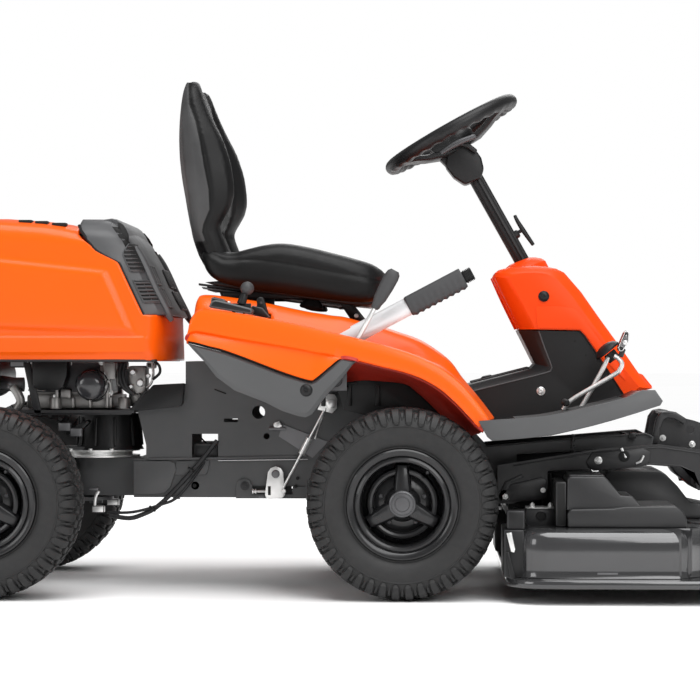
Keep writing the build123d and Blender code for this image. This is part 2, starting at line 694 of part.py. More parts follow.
def choke_lever():
    handle = xz_solid([(-312, 606), (-316, 640), (-306, 644), (-290, 606), (-300, 602)],
                      CHOKE_Y - 7, CHOKE_Y + 7)
    return handle + cross_rod(CHOKE_PIVOT, CHOKE_Y - 11, CHOKE_Y + 11, SMALL_PIN_RADIUS)


def bellcrank():
    y_from, y_to = -FRAME_HALF - 18, -FRAME_HALF - 14
    plate = xz_solid([(-303, 211), (-258, 211), (-256, 228), (-266, 262), (-300, 262)], y_from, y_to)
    plate += cross_rod(CRANK_PIVOT, y_from - 2, y_to, 17)
    plate -= cross_rod(CRANK_PIVOT, y_from - 5, y_to + 5, CRANK_PIN_RADIUS + RUNNING_GAP)
    plate -= cross_rod(LINK_PIN, y_from - 5, y_to + 5, LINK_RADIUS + RUNNING_GAP)
    return plate


def lift_rod():
    y = -FRAME_HALF - 24
    link = cross_rod(LINK_PIN, y, -FRAME_HALF - 12, LINK_RADIUS)
    link += Pos(LINK_PIN[0], y, LINK_PIN[1]) * Sphere(LINK_RADIUS)
    link += rod((LINK_PIN[0], y, LINK_PIN[1]), (-176, y, 392), LINK_RADIUS)
    link += rod((-226, y, 297), (-208, y, 332), 7)
    return link


# ---- pedals --------------------------------------------------------------
def pedal_arm(y, points):
    x, z = PEDAL_SHAFT
    arm = cross_rod(PEDAL_SHAFT, y - 13, y + 13, 10)
    arm += bent_rod([(x, y, z)] + [(px, y, pz) for px, pz in points], 5)
    return arm - cross_rod(PEDAL_SHAFT, y - 20, y + 20, PEDAL_SHAFT_RADIUS + RUNNING_GAP)


def forward_pedal():
    arm = pedal_arm(-234, [(364, 424), (467, 484), (473, 505), (468, 525)])
    return arm + xz_solid([(460, 520), (470, 516), (486, 540), (474, 572), (462, 566)], -256, -212)


def reverse_pedal():
    arm = pedal_arm(-200, [(366, 424), (425, 462), (446, 514)])
    return arm + xz_solid([(430, 512), (466, 512), (468, 530), (455, 548), (438, 546)], -206, -176)


def brake_pedal():
    arm = pedal_arm(220, [(364, 424), (450, 474), (462, 515)])
    return arm + xz_solid([(450, 512), (470, 508), (478, 560), (462, 562)], 190, 250)


# ---- cutting deck --------------------------------------------------------
DECK_PLAN = [(216, -250), (216, -440), (262, -492), (330, -500), (620, -500), (690, -460),
             (775, -350), (850, -190), (868, 0)]


def deck_outline(grow):
    """Whole plan outline, moved in or out by a margin."""
    full = DECK_PLAN + [(x, -y) for x, y in reversed(DECK_PLAN[:-1])]
    face = make_face(Polyline(*[(x, y, 0) for x, y in full], close=True))
    if grow:
        face = offset(face, amount=grow, kind=Kind.INTERSECTION)
    return face


def deck_shell():
    wall = 3.0
    inset = 24.0
    skirt = extrude(Pos(0, 0, DECK_SKIRT_BOTTOM) * deck_outline(0), amount=5)
    body = extrude(Pos(0, 0, DECK_SKIRT_BOTTOM) * deck_outline(-inset), amount=DECK_TOP - DECK_SKIRT_BOTTOM)
    inner = extrude(Pos(0, 0, DECK_SKIRT_BOTTOM - 1) * deck_outline(-inset - wall),
                    amount=DECK_TOP - DECK_SKIRT_BOTTOM - wall + 1)
    shell = skirt + body - inner
    for x, y in BLADE_SPOTS.values():
        shell -= rod((x, y, DECK_TOP - 10), (x, y, DECK_TOP + 10), 30)
    for side in (-1, 1):
        y = side * 300
        shell += block(262, 322, y - 30, y + 30, DECK_TOP, DECK_TOP + 36)
        shell += block(240, 300, side * 160 - 15, side * 160 + 15, DECK_TOP, DECK_TOP + 42)
    return shell


def belt_covers():
    side = [(344, 155), (344, 258), (426, 258), (460, 220), (480, 220), (500, 197), (575, 197),
            (590, 182), (590, 155)]
    centre = [(428, 155), (457, 262), (570, 262), (632, 190), (700, 176), (720, 155)]
    right = hollow_one(side, -420, -212)
    middle = hollow_one(centre, -108, 108)
    return Compound(children=[right, mirror(right, about=Plane.XZ).solids()[0], middle])


def hollow_one(points, y_from, y_to):
    """Cover open at the bottom, with an even wall."""
    outer = xz_solid(points, y_from, y_to)
    inner_face = offset(face_xz(points, y_from + 3), amount=-3, kind=Kind.INTERSECTION)
    body = outer - extrude(inner_face, amount=y_to - y_from - 6, dir=(0, 1, 0))
    lowest = min(z for _, z in points)
    xs = [x for x, _ in points]
    body -= block(min(xs) + 4, max(xs) - 8, y_from + 3, y_to - 3, lowest - 5, lowest + 8)
    return largest_solids(body, 1)


def spindle_housings():
    parts = []
    for x, y in BLADE_SPOTS.values():
        tube = rod((x, y, 110), (x, y, 161), 28) + rod((x, y, DECK_TOP), (x, y, DECK_TOP + 4), 48)
        tube -= rod((x, y, 100), (x, y, 200), SPINDLE_RADIUS + RUNNING_GAP)
        parts.append(tube.solids()[0])
    return Compound(children=parts)


def blade(name):
    x, y = BLADE_SPOTS[name]
    half, width = BLADE_RADIUS, 26.0
    bar = xy_solid([(x - width, y - half), (x + width - 10, y - half), (x + width, y - half + 40),
                    (x + width, y + half), (x - width + 10, y + half), (x - width, y + half - 40)],
                   BLADE_Z, BLADE_Z + 4)
    spindle = rod((x, y, BLADE_Z - 10), (x, y, 184), SPINDLE_RADIUS)
    spindle += rod((x, y, BLADE_Z - 12), (x, y, BLADE_Z), 16)
    spindle += rod((x, y, BLADE_Z + 4), (x, y, 105), 30, 20)
    pulley = rod((x, y, 163), (x, y, 177), 44) - ring_groove(x, y, 166, 174, 38, 60)
    return bar + spindle + pulley


def ring_groove(x, y, z_from, z_to, inner, outer):
    return rod((x, y, z_from), (x, y, z_to), outer) - rod((x, y, z_from), (x, y, z_to), inner)


def equipment_frame():
    arm = [(205, 276), (341, 298), (428, 312), (558, 322), (645, 310), (674, 286), (674, 222), (640, 222),
           (630, 258), (600, 272), (536, 277), (314, 264), (314, 224), (300, 214), (238, 192), (206, 192)]
    frame = both_sides(xz_solid(arm, -ARM_Y - 6, -ARM_Y))
    frame += cross_rod(LIFT_PIVOT, -ARM_Y - 12, ARM_Y + 12, LIFT_SHAFT_RADIUS)
    frame += cross_rod((654, 236), -ARM_Y, ARM_Y, 11)
    ear = [(600, 318), (552, 318), (556, 341), (562, 376), (571, 387), (584, 389), (599, 387), (622, 376),
           (643, 371), (658, 366), (668, 330), (668, 232), (640, 228), (628, 312)]
    plate = xz_solid(ear, -86, -80)
    plate -= cross_rod((636, 350), -90, -76, 9)
    frame += both_sides(plate)
    return frame


# ---- export --------------------------------------------------------------
NODES = {
    "frame_plates": frame_plates(),
    "lower_beam": lower_beam(),
    "front_axle": front_axle(),
    "engine_plate": engine_plate(),
    "engine_block": engine_block(),
    "blower_housing": blower_housing(),
    "oil_filter": oil_filter(),
    "carburettor": carburettor(),
    "muffler": muffler(),
    "battery": battery(),
    "fuel_tank": fuel_tank(),
    "fuel_cap": fuel_cap(),
    "rear_yoke": rear_yoke(),
    "steering_ring": steering_ring(),
    "transaxle": transaxle(),
    "body_shell": body_shell(),
    "console": console(),
    "side_covers": side_covers(),
    "cowl": cowl(),
    "tunnel_panels": tunnel_panels(),
    "foot_plates": foot_plates(),
    "cover_screws": cover_screws(),
    "link_brackets": link_brackets(),
    "hoses": hoses(),
    "hood": hood(),
    "hood_vent": hood_vent(),
    "column_tube": column_tube(),
    "column_sleeve": column_sleeve(),
    "column_knob": column_knob(),
    "steering_wheel": steering_wheel(),
    "seat_rails": seat_rails(),
    "seat_pan": seat_pan(),
    "seat_cushion": seat_cushion(),
    "seat_back": seat_back(),
    "lift_lever": lift_lever(),
    "lift_grip": lift_grip(),
    "lift_button": lift_button(),
    "height_lever": height_lever(),
    "throttle_lever": throttle_lever(),
    "choke_lever": choke_lever(),
    "bellcrank": bellcrank(),
    "lift_rod": lift_rod(),
    "forward_pedal": forward_pedal(),
    "reverse_pedal": reverse_pedal(),
    "brake_pedal": brake_pedal(),
    "deck_shell": deck_shell(),
    "belt_covers": belt_covers(),
    "spindle_housings": spindle_housings(),
    "equipment_frame": equipment_frame(),
}
for name in BLADE_SPOTS:
    NODES["blade_" + name] = blade(name)
for end, x in (("front", 0.0), ("rear", -WHEELBASE)):
    for hand, side in (("right", -1), ("left", 1)):
        NODES["tyre_" + end + "_" + hand] = tyre(x, side)
        NODES["rim_" + end + "_" + hand] = rim(x, side)

os.makedirs("parts", exist_ok=True)
for name, shape in NODES.items():
    solids = [Pos(ORIGIN_TO_AXLE, 0, 0) * solid for solid in shape.solids()]
    placed = solids[0] if len(solids) == 1 else Compound(children=solids)
    placed.label = name
    export_step(placed, "parts/" + name + ".step")
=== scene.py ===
import bmesh
import bpy
import math
from mathutils import Matrix, Vector


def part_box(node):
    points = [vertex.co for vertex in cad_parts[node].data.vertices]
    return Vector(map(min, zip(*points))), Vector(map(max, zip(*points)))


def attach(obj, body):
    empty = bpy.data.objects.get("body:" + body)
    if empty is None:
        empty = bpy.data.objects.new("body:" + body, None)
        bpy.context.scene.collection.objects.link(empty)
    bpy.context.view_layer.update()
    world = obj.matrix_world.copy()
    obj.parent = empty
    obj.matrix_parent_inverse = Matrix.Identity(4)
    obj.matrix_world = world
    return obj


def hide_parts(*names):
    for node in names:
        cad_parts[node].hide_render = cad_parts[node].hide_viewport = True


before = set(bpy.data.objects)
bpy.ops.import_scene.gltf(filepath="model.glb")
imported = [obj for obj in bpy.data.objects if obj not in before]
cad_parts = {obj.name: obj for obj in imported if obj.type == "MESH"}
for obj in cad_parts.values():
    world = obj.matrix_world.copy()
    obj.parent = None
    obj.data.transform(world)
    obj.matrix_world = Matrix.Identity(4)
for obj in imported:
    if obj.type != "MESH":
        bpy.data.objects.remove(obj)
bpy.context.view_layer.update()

# Sizes are millimetres from the ground point under the front axle; P() gives the frame's metres.
AXLE_X = (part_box("tyre_front_right")[0].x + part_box("tyre_front_right")[1].x) / 2
WHEELBASE = 885
TYRE_R = 203.5
WHEEL_Y = 360
SIDES = (-1, 1)
AHEAD, LEFT, RIGHT, UP = (1, 0, 0), (0, 1, 0), (0, -1, 0), (0, 0, 1)


def P(x, y, z):
    """Frame point of a spot given in millimetres from the ground under the front axle."""
    return Vector((x / 1000 + AXLE_X, y / 1000, z / 1000))


# ---------------------------------------------------------------- materials
def new_material(name):
    material = bpy.data.materials.new(name)
    material.use_nodes = True
    nodes = material.node_tree.nodes
    return material, nodes, material.node_tree.links, nodes["Principled BSDF"]


def add_noise(nodes, links, scale, detail=3.0, stretch=None):
    coordinates = nodes.new("ShaderNodeTexCoord")
    texture = nodes.new("ShaderNodeTexNoise")
    texture.inputs["Scale"].default_value = scale
    texture.inputs["Detail"].default_value = detail
    if stretch:
        mapping = nodes.new("ShaderNodeMapping")
        mapping.inputs["Scale"].default_value = stretch
        links.new(coordinates.outputs["Object"], mapping.inputs["Vector"])
        links.new(mapping.outputs["Vector"], texture.inputs["Vector"])
    else:
        links.new(coordinates.outputs["Object"], texture.inputs["Vector"])
    return texture.outputs["Fac"]


def ramp(nodes, links, value, low, high, dark, light):
    node = nodes.new("ShaderNodeValToRGB")
    node.color_ramp.elements[0].position = low
    node.color_ramp.elements[1].position = high
    node.color_ramp.elements[0].color = (*dark, 1)
    node.color_ramp.elements[1].color = (*light, 1)
    links.new(value, node.inputs["Fac"])
    return node.outputs["Color"]


def span(nodes, links, value, low, high):
    """Maps a 0 to 1 value onto a range."""
    node = nodes.new("ShaderNodeMapRange")
    node.inputs["To Min"].default_value = low
    node.inputs["To Max"].default_value = high
    links.new(value, node.inputs["Value"])
    return node.outputs["Result"]


def add_bump(nodes, links, shader, value, strength, distance, before=None):
    node = nodes.new("ShaderNodeBump")
    node.inputs["Strength"].default_value = strength
    node.inputs["Distance"].default_value = distance
    links.new(value, node.inputs["Height"])
    if before:
        links.new(before, node.inputs["Normal"])
    links.new(node.outputs["Normal"], shader.inputs["Normal"])
    return node.outputs["Normal"]


def shade(color, factor):
    return tuple(min(1.0, part * factor) for part in color)


def surface(name, color, roughness, metallic=0.0, spread=0.12, tone_scale=6.0, grain=900.0,
            grain_depth=0.00006, coat=0.0, rough_spread=0.08, stretch=None, grain_strength=0.35, dust=0.0,
            gloss=0.5):
    """A procedural finish: slow colour and gloss variation, a fine grain, optional dust in noise patches."""
    material, nodes, links, shader = new_material(name)
    slow = add_noise(nodes, links, tone_scale, 4.0)
    tone = ramp(nodes, links, slow, 0.3, 0.7, shade(color, 1 - spread), shade(color, 1 + spread))
    fine = add_noise(nodes, links, grain, 2.0, stretch)
    if dust:
        settle = add_noise(nodes, links, tone_scale * 7, 6.0)
        amount = span(nodes, links, settle, -dust, dust * 1.6)
        mix = nodes.new("ShaderNodeMixRGB")
        mix.inputs["Color2"].default_value = (0.16, 0.145, 0.125, 1)
        links.new(amount, mix.inputs["Fac"])
        links.new(tone, mix.inputs["Color1"])
        tone = mix.outputs["Color"]
    links.new(tone, shader.inputs["Base Color"])
    rough = add_noise(nodes, links, tone_scale * 5, 5.0, stretch)
    links.new(span(nodes, links, rough, roughness - rough_spread, roughness + rough_spread),
              shader.inputs["Roughness"])
    shader.inputs["Metallic"].default_value = metallic
    shader.inputs["Specular IOR Level"].default_value = gloss
    shader.inputs["Coat Weight"].default_value = coat
    shader.inputs["Coat Roughness"].default_value = 0.06
    add_bump(nodes, links, shader, fine, grain_strength, grain_depth)
    return material


SEAM_EDGE, STITCH_FADE, STITCH = (0.49, 0.51), (0.37, 0.63), (0.43, 0.57)


def leather(name, color, sheen_shell_color):
    """Black vinyl with a pebble grain, a lighter grey behind the side seam as painted sheen, and dark along the
    seam itself.
    """
    material, nodes, links, shader = new_material(name)
    coordinates = nodes.new("ShaderNodeTexCoord")
    cells = nodes.new("ShaderNodeTexVoronoi")
    cells.feature = "DISTANCE_TO_EDGE"
    cells.inputs["Scale"].default_value = 620.0
    links.new(coordinates.outputs["Object"], cells.inputs["Vector"])
    slow = add_noise(nodes, links, 9.0, 4.0)
    front = ramp(nodes, links, slow, 0.3, 0.7, shade(color, 0.75), shade(color, 1.35))
    # Lighter grey tone for the shell behind the side seam and the back's centre panel: painted sheen.
    back = ramp(nodes, links, slow, 0.3, 0.7, shade(sheen_shell_color, 0.8), shade(sheen_shell_color, 1.25))
    side = nodes.new("ShaderNodeAttribute")
    side.attribute_name = "seam_side"
    edge = ramp(nodes, links, side.outputs["Fac"], *SEAM_EDGE, (0, 0, 0), (1, 1, 1))
    line = nodes.new("ShaderNodeValToRGB")
    stops = line.color_ramp.elements
    for stop, position in zip(stops, STITCH_FADE):
        stop.position = position
        stop.color = (1, 1, 1, 1)
    for position in STITCH:
        stops.new(position).color = (0.08, 0.08, 0.08, 1)
    links.new(side.outputs["Fac"], line.inputs["Fac"])
    tones = nodes.new("ShaderNodeMixRGB")
    for socket, source in (("Fac", edge), ("Color1", front), ("Color2", back)):
        links.new(source, tones.inputs[socket])
    stitched = nodes.new("ShaderNodeMixRGB")
    stitched.blend_type = "MULTIPLY"
    stitched.inputs["Fac"].default_value = 1.0
    links.new(tones.outputs["Color"], stitched.inputs["Color1"])
    links.new(line.outputs["Color"], stitched.inputs["Color2"])
    links.new(stitched.outputs["Color"], shader.inputs["Base Color"])
    links.new(span(nodes, links, add_noise(nodes, links, 40.0, 5.0), 0.36, 0.52),
              shader.inputs["Roughness"])
    first = add_bump(nodes, links, shader, cells.outputs["Distance"], 0.45, 0.0004)
    add_bump(nodes, links, shader, add_noise(nodes, links, 120.0, 4.0), 0.2, 0.0006, first)
    shader.inputs["Specular IOR Level"].default_value = 0.26
    return material


M = {
    "orange": surface("orange_gloss", (0.93, 0.112, 0.003), 0.31, spread=0.035, tone_scale=3.0, grain=420.0,
                      grain_depth=0.00003, coat=0.08, rough_spread=0.04, grain_strength=0.12, gloss=0.26),
    # Deeper, less glossy copy of the body orange for the cowl: painted shade for the lesser light on it.
    "orange_deep_shade": surface("orange_satin_shade", (0.9, 0.062, 0.0012), 0.42, spread=0.05, grain=1500.0,
                           grain_depth=0.00003, rough_spread=0.04, grain_strength=0.12, gloss=0.2),
    # Darkened copy of the body orange for faces that sit in shade: painted shade.
    "orange_shade": surface("orange_painted_shade", (0.42, 0.018, 0.006), 0.5, spread=0.1, grain=600.0),
    "grey": surface("grey_plastic", (0.076, 0.077, 0.079), 0.5, spread=0.07, grain=1500.0,
                    grain_depth=0.00011, grain_strength=0.5),
    "vent": surface("vent_plastic", (0.072, 0.073, 0.076), 0.46, spread=0.07, grain=1500.0,
                    grain_depth=0.0001, grain_strength=0.45),
    "black": surface("black_plastic", (0.0085, 0.0085, 0.009), 0.42, spread=0.15, grain=1400.0,
                     grain_depth=0.00009, grain_strength=0.4, gloss=0.35),
    "cover": surface("cover_plastic", (0.02, 0.02, 0.021), 0.4, spread=0.12, grain=1400.0,
                     grain_depth=0.00009, grain_strength=0.4),
    # Near-black finish for holes, slots, pockets and gaps: painted shade where one looks into an opening.
    "shade_hole": surface("painted_hole_shade", (0.004, 0.004, 0.004), 0.8, spread=0.3, grain=500.0),
    "steel_black": surface("black_powder_coat", (0.016, 0.016, 0.0175), 0.42, spread=0.12, grain=1100.0,
                           grain_depth=0.00008, grain_strength=0.35, dust=0.05),
    "plate": surface("grey_powder_coat", (0.062, 0.063, 0.065), 0.45, spread=0.1, grain=1100.0,
                     grain_depth=0.00008, grain_strength=0.35, dust=0.05),
    "bracket": surface("bracket_grey", (0.15, 0.15, 0.155), 0.4, metallic=0.5, spread=0.1, grain=700.0),
    "zinc": surface("zinc_plate", (0.8, 0.8, 0.79), 0.34, metallic=0.7, spread=0.14, tone_scale=30.0,
                    grain=500.0, rough_spread=0.1),
    "tube": surface("satin_tube", (0.78, 0.78, 0.79), 0.34, metallic=0.35, spread=0.05, grain=260.0,
                    stretch=(1.0, 14.0, 14.0), grain_strength=0.03),
    "casting": surface("cast_alloy", (0.085, 0.085, 0.09), 0.5, metallic=0.6, spread=0.2, tone_scale=14.0,
                       grain=330.0, grain_depth=0.0004, grain_strength=0.6, dust=0.08),
    "casting_light": surface("cast_light", (0.34, 0.33, 0.32), 0.45, metallic=0.8, spread=0.18,
                             tone_scale=16.0, grain=330.0, grain_depth=0.0003, grain_strength=0.5),
    "filter": surface("filter_paint", (0.03, 0.03, 0.033), 0.22, spread=0.1, grain=500.0, coat=0.5),
    "tyre": surface("tyre_rubber", (0.011, 0.011, 0.0115), 0.62, spread=0.25, tone_scale=12.0, grain=600.0,
                    grain_depth=0.0002, grain_strength=0.4, dust=0.035),
    "rim": surface("rim_satin_black", (0.014, 0.014, 0.015), 0.3, metallic=0.3, spread=0.1, grain=900.0,
                   coat=0.25),
    "cap": surface("cap_grey", (0.09, 0.09, 0.094), 0.36, metallic=0.4, spread=0.1, grain=900.0),
    # The second colour is the lighter grey of painted sheen on the seat's shell.
    "vinyl": leather("seat_vinyl", (0.0045, 0.0045, 0.0048), (0.055, 0.055, 0.056)),
    "grip": surface("grip_rubber", (0.045, 0.045, 0.047), 0.55, spread=0.12, grain=1500.0,
                    grain_depth=0.00016, grain_strength=0.5),
    "deck": surface("deck_enamel", (0.05, 0.05, 0.052), 0.16, metallic=0.35, spread=0.05, tone_scale=4.0,
                    grain=900.0, grain_depth=0.00003, coat=0.8, rough_spread=0.05, grain_strength=0.15),
    "hose": surface("hose_rubber", (0.012, 0.012, 0.013), 0.5, spread=0.2, grain=800.0),
    "tank": surface("tank_plastic", (0.55, 0.53, 0.47), 0.45, spread=0.06, grain=700.0),
    "screen": surface("display_glass", (0.01, 0.011, 0.012), 0.12, spread=0.1, grain=200.0, coat=1.0),
}


# ---------------------------------------------------------------- mesh helpers
def smooth_line(points, steps=4, closed=False):
    """Catmull-Rom curve through points of any dimension."""
    count = len(points)
    result = []
    for i in range(count if closed else count - 1):
        before = points[i - 1] if (i or closed) else points[0]
        a, b = points[i], points[(i + 1) % count]
        after = points[(i + 2) % count] if (closed or i + 2 < count) else b
        for step in range(steps):
            t = step / steps
            result.append(tuple(
                0.5 * (2 * q + (r - p) * t + (2 * p - 5 * q + 4 * r - s) * t * t
                       + (3 * q - p - 3 * r + s) * t ** 3)
                for p, q, r, s in zip(before, a, b, after)))
    if not closed:
        result.append(tuple(points[-1]))
    return result


def blend(a, b, t):
    return a + (b - a) * t


def mix(a, b, t):
    """Point part of the way from one point to another."""
    return tuple(blend(p, q, t) for p, q in zip(a, b))


def both_halves(half):
    """A half row from the right side inwards, carried on over the middle to the left side."""
    return half + [(x, -y, z) for x, y, z in reversed(half[:-1])]


def turns(count):
    """Angles of a full turn in even steps."""
    return [2 * math.pi * k / count for k in range(count)]


def link(obj):
    bpy.context.scene.collection.objects.link(obj)
    return obj


def ease(t):
    """Smooth step from 0 to 1."""
    t = min(1.0, max(0.0, t))
    return t * t * (3 - 2 * t)


def along(line, x):
    """Height of a side-view line at x, for lines that run forwards."""
    for (x0, z0), (x1, z1) in zip(line, line[1:]):
        if x <= x1:
            return z0 + (z1 - z0) * min(1.0, max(0.0, (x - x0) / (x1 - x0)))
    return line[-1][1]


def inside_depth(outline, x, z):
    """Distance from a point to the nearest side of a convex outline, zero outside it."""
    depth = 1e9
    for (x0, z0), (x1, z1) in zip(outline, outline[1:] + outline[:1]):
        length = math.hypot(x1 - x0, z1 - z0)
        depth = min(depth, ((x1 - x0) * (z - z0) - (z1 - z0) * (x - x0)) / length)
    return max(0.0, depth)


AXES = {"x": lambda a, b, c: (c, a, b), "y": lambda a, b, c: (a, c, b), "z": lambda a, b, c: (a, b, c)}
SHARP_EDGE = 0.45


class Piece:
    """One named piece of the machine, put together from runs of faces with their own finishes."""

    def __init__(self, name, body, finish, place=P):
        self.name, self.body, self.place = name, body, place
        self.mesh = bmesh.new()
        self.finishes = [finish]

    def add(self, points, faces, finish=None):
        finish = finish or self.finishes[0]
        if finish not in self.finishes:
            self.finishes.append(finish)
        spots = [self.mesh.verts.new(self.place(*point)) for point in points]
        made = [self.mesh.faces.new([spots[i] for i in face]) for face in faces]
        for face in made:
            face.material_index = self.finishes.index(finish)
        return made

    def round_edges(self, faces, size, segments=2):
        bmesh.ops.recalc_face_normals(self.mesh, faces=faces)
        edges = dict.fromkeys(edge for face in faces for edge in face.edges)
        sharp = [e for e in edges if len(e.link_faces) == 2 and e.calc_face_angle(0) > SHARP_EDGE]
        bmesh.ops.bevel(self.mesh, geom=sharp, offset=size / 1000, segments=segments, profile=0.5,
                        affect="EDGES", clamp_overlap=True)

    def grid(self, rows, finish=None, wrap=False, caps=False, skip=None):
        """Skin over rows of points; wrap closes the rows, caps close the two ends."""
        width = len(rows[0])
        points = [point for row in rows for point in row]
        faces = []
        for r in range(len(rows) - 1):
            for c in range(width if wrap else width - 1):
                d = (c + 1) % width
                quad = (r * width + c, r * width + d, (r + 1) * width + d, (r + 1) * width + c)
                middle = mix(points[quad[0]], points[quad[2]], 0.5)
                if not (skip and skip(middle)):
                    faces.append(quad)
        if caps:
            faces.append(tuple(reversed(range(width))))
            faces.append(tuple((len(rows) - 1) * width + c for c in range(width)))
        return self.add(points, faces, finish)

    def prism(self, outline, low, high, axis="y", finish=None, edge=1.2, segments=2):
        """Outline extruded along an axis between two places, with its sharp edges rounded."""
        low, high = sorted((low, high))
        count = len(outline)
        points = [AXES[axis](a, b, c) for c in (low, high) for a, b in outline]
        faces = [tuple(range(count)), tuple(range(2 * count - 1, count - 1, -1))]
        for i in range(count):
            j = (i + 1) % count
            faces.append((i, j, j + count, i + count))
        made = self.add(points, faces, finish)
        if edge:
            self.round_edges(made, edge, segments)

    def block(self, x0, x1, y0, y1, z0, z1, finish=None, edge=1.5):
        self.prism([(x0, z0), (x1, z0), (x1, z1), (x0, z1)], y0, y1, "y", finish, edge)

    def tube(self, path, radius, sides=12, steps=6, finish=None, closed=False):
        """Round bar along a smooth path; the radius may be one per path point."""
        radii = radius if isinstance(radius, (list, tuple)) else [radius] * len(path)
        line = smooth_line([(*spot, r) for spot, r in zip(path, radii)], steps, closed)
        spots = [Vector(point[:3]) for point in line]
        sizes = [max(0.2, point[3]) for point in line]
        if not closed:
            first, last = (spots[1] - spots[0]).normalized(), (spots[-1] - spots[-2]).normalized()
            lip = min(sizes[0], 4.0) * 0.3
            tip = min(sizes[-1], 4.0) * 0.3
            spots = [spots[0], spots[0] + first * lip] + spots[1:-1] + [spots[-1] - last * tip, spots[-1]]
            sizes = [sizes[0] - lip, sizes[0]] + sizes[1:-1] + [sizes[-1], sizes[-1] - tip]
        count = len(spots)
        normal, rows = None, []
        for i, spot in enumerate(spots):
            ahead = spots[(i + 1) % count] if (closed or i + 1 < count) else spot
            behind = spots[i - 1] if (closed or i) else spot
            way = (ahead - behind).normalized()
            normal = way.orthogonal() if normal is None else normal - way * normal.dot(way)
            normal.normalize()
            side = way.cross(normal)
            rows.append([tuple(spot + (normal * math.cos(a) + side * math.sin(a)) * sizes[i])
                         for a in turns(sides)])
        if closed:
            rows.append(rows[0])
        return self.grid(rows, finish, wrap=True, caps=not closed)

    def lathe(self, profile, centre, axis=LEFT, sides=40, finish=None, closed=False):
        """Profile of (radius, distance along the axis) turned about the axis."""
        way = Vector(axis).normalized()
        normal = way.orthogonal().normalized()
        side = way.cross(normal)
        middle = Vector(centre)
        rows = []
        for radius, distance in (profile + profile[:1] if closed else profile):
            rows.append([tuple(middle + way * distance
                               + (normal * math.cos(a) + side * math.sin(a)) * max(radius, 0.05))
                         for a in turns(sides)])
        return self.grid(rows, finish, wrap=True, caps=not closed)

    def bolt(self, spot, axis=RIGHT, radius=8.0, height=6.0, finish="zinc", washer=True):
        """Hexagon head on a washer, with the thread's end showing."""
        if washer:
            self.lathe([(radius * 1.45, -1), (radius * 1.45, 1.2), (radius * 1.3, 1.8)], spot, axis, 24,
                       finish)
        self.lathe([(radius, 1), (radius, height - 1), (radius * 0.84, height)], spot, axis, 6, finish)
        self.lathe([(radius * 0.45, height - 1), (radius * 0.45, height + 1.5),
                    (radius * 0.3, height + 2.2)], spot, axis, 14, finish)

    def data(self, sharp=35):
        bmesh.ops.remove_doubles(self.mesh, verts=self.mesh.verts, dist=0.000002)
        bmesh.ops.recalc_face_normals(self.mesh, faces=self.mesh.faces)
        mesh = bpy.data.meshes.new(self.name)
        self.mesh.to_mesh(mesh)
        self.mesh.free()
        for finish in self.finishes:
            mesh.materials.append(M[finish])
        mesh.polygons.foreach_set("use_smooth", [True] * len(mesh.polygons))
        mesh.set_sharp_from_angle(angle=math.radians(sharp))
        return mesh

    def done(self, *nodes, slot=None, sharp=35):
        """Makes the object, rides it on its body and lets it stand for CAD nodes."""
        return show(self.name, self.data(sharp), self.body, nodes)


def show(name, mesh, body, nodes=(), place=None):
    obj = link(bpy.data.objects.new(name, mesh))
    if place:
        obj.matrix_world = place
    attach(obj, body)
    if nodes:
        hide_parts(*nodes)
    return obj


def wall(obj, thickness, inner=0):
    """Gives an open skin a wall, with the finish of its hidden face."""
    solid = obj.modifiers.new("wall", "SOLIDIFY")
    solid.thickness = thickness / 1000
    solid.offset = -1
    solid.material_offset = inner


def dress(node, finish, edge=0.0):
    """Shows a CAD node as it is, in a procedural finish and with its edges eased."""
    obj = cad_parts[node]
    obj.data.materials.clear()
    obj.data.materials.append(M[finish])
    if edge:
        bevel = obj.modifiers.new("eased_edges", "BEVEL")
        bevel.width = edge / 1000
        bevel.segments = 2
        bevel.limit_method = "ANGLE"
        bevel.angle_limit = math.radians(40)


# ---------------------------------------------------------------- wheels
def local(x, y, z):
    return Vector((x, y, z)) / 1000


CARCASS = [(104, 58), (111, 62), (116, 66), (118, 68.5), (121, 69), (124, 72.5), (134, 77.5), (146, 80.8),
           (157, 81.6), (162, 81.4), (163, 82.8), (165, 82.8), (166, 81.2), (172, 79.6), (180, 76),
           (187, 69.5), (191.5, 60), (194, 47), (195.4, 26), (196, 0)]
SHOULDER_LUG = [((167, 81), 1.6, 1.6), ((172, 79.8), 2.3, 5.0), ((180, 75.8), 2.6, 7.2),
                ((187, 69.5), 2.7, 8.6), ((191.5, 60), 2.7, 9.2), ((193.8, 49), 2.4, 9.2)]
MIDDLE_LUG = [((194.3, 43), 2.6, 8.0), ((195.2, 30), 2.6, 8.0), ((195.9, 17), 2.4, 7.4)]
CENTRE_LUG = [((196, 12), 2.5, 7.4), ((196, 0), 2.5, 7.4), ((196, -12), 2.5, 7.4)]
GAP_LUG = [((175, 78), 0.7, 0.6), ((182, 74), 1.0, 3.6), ((188, 67.5), 1.1, 4.6), ((191.6, 59.5), 0.9, 3.6)]
FINE_RIB = [((143, 79.4), 0.35, 0.7), ((146, 80.2), 0.35, 0.9), ((149, 80.6), 0.35, 0.7)]
LUGS = 42


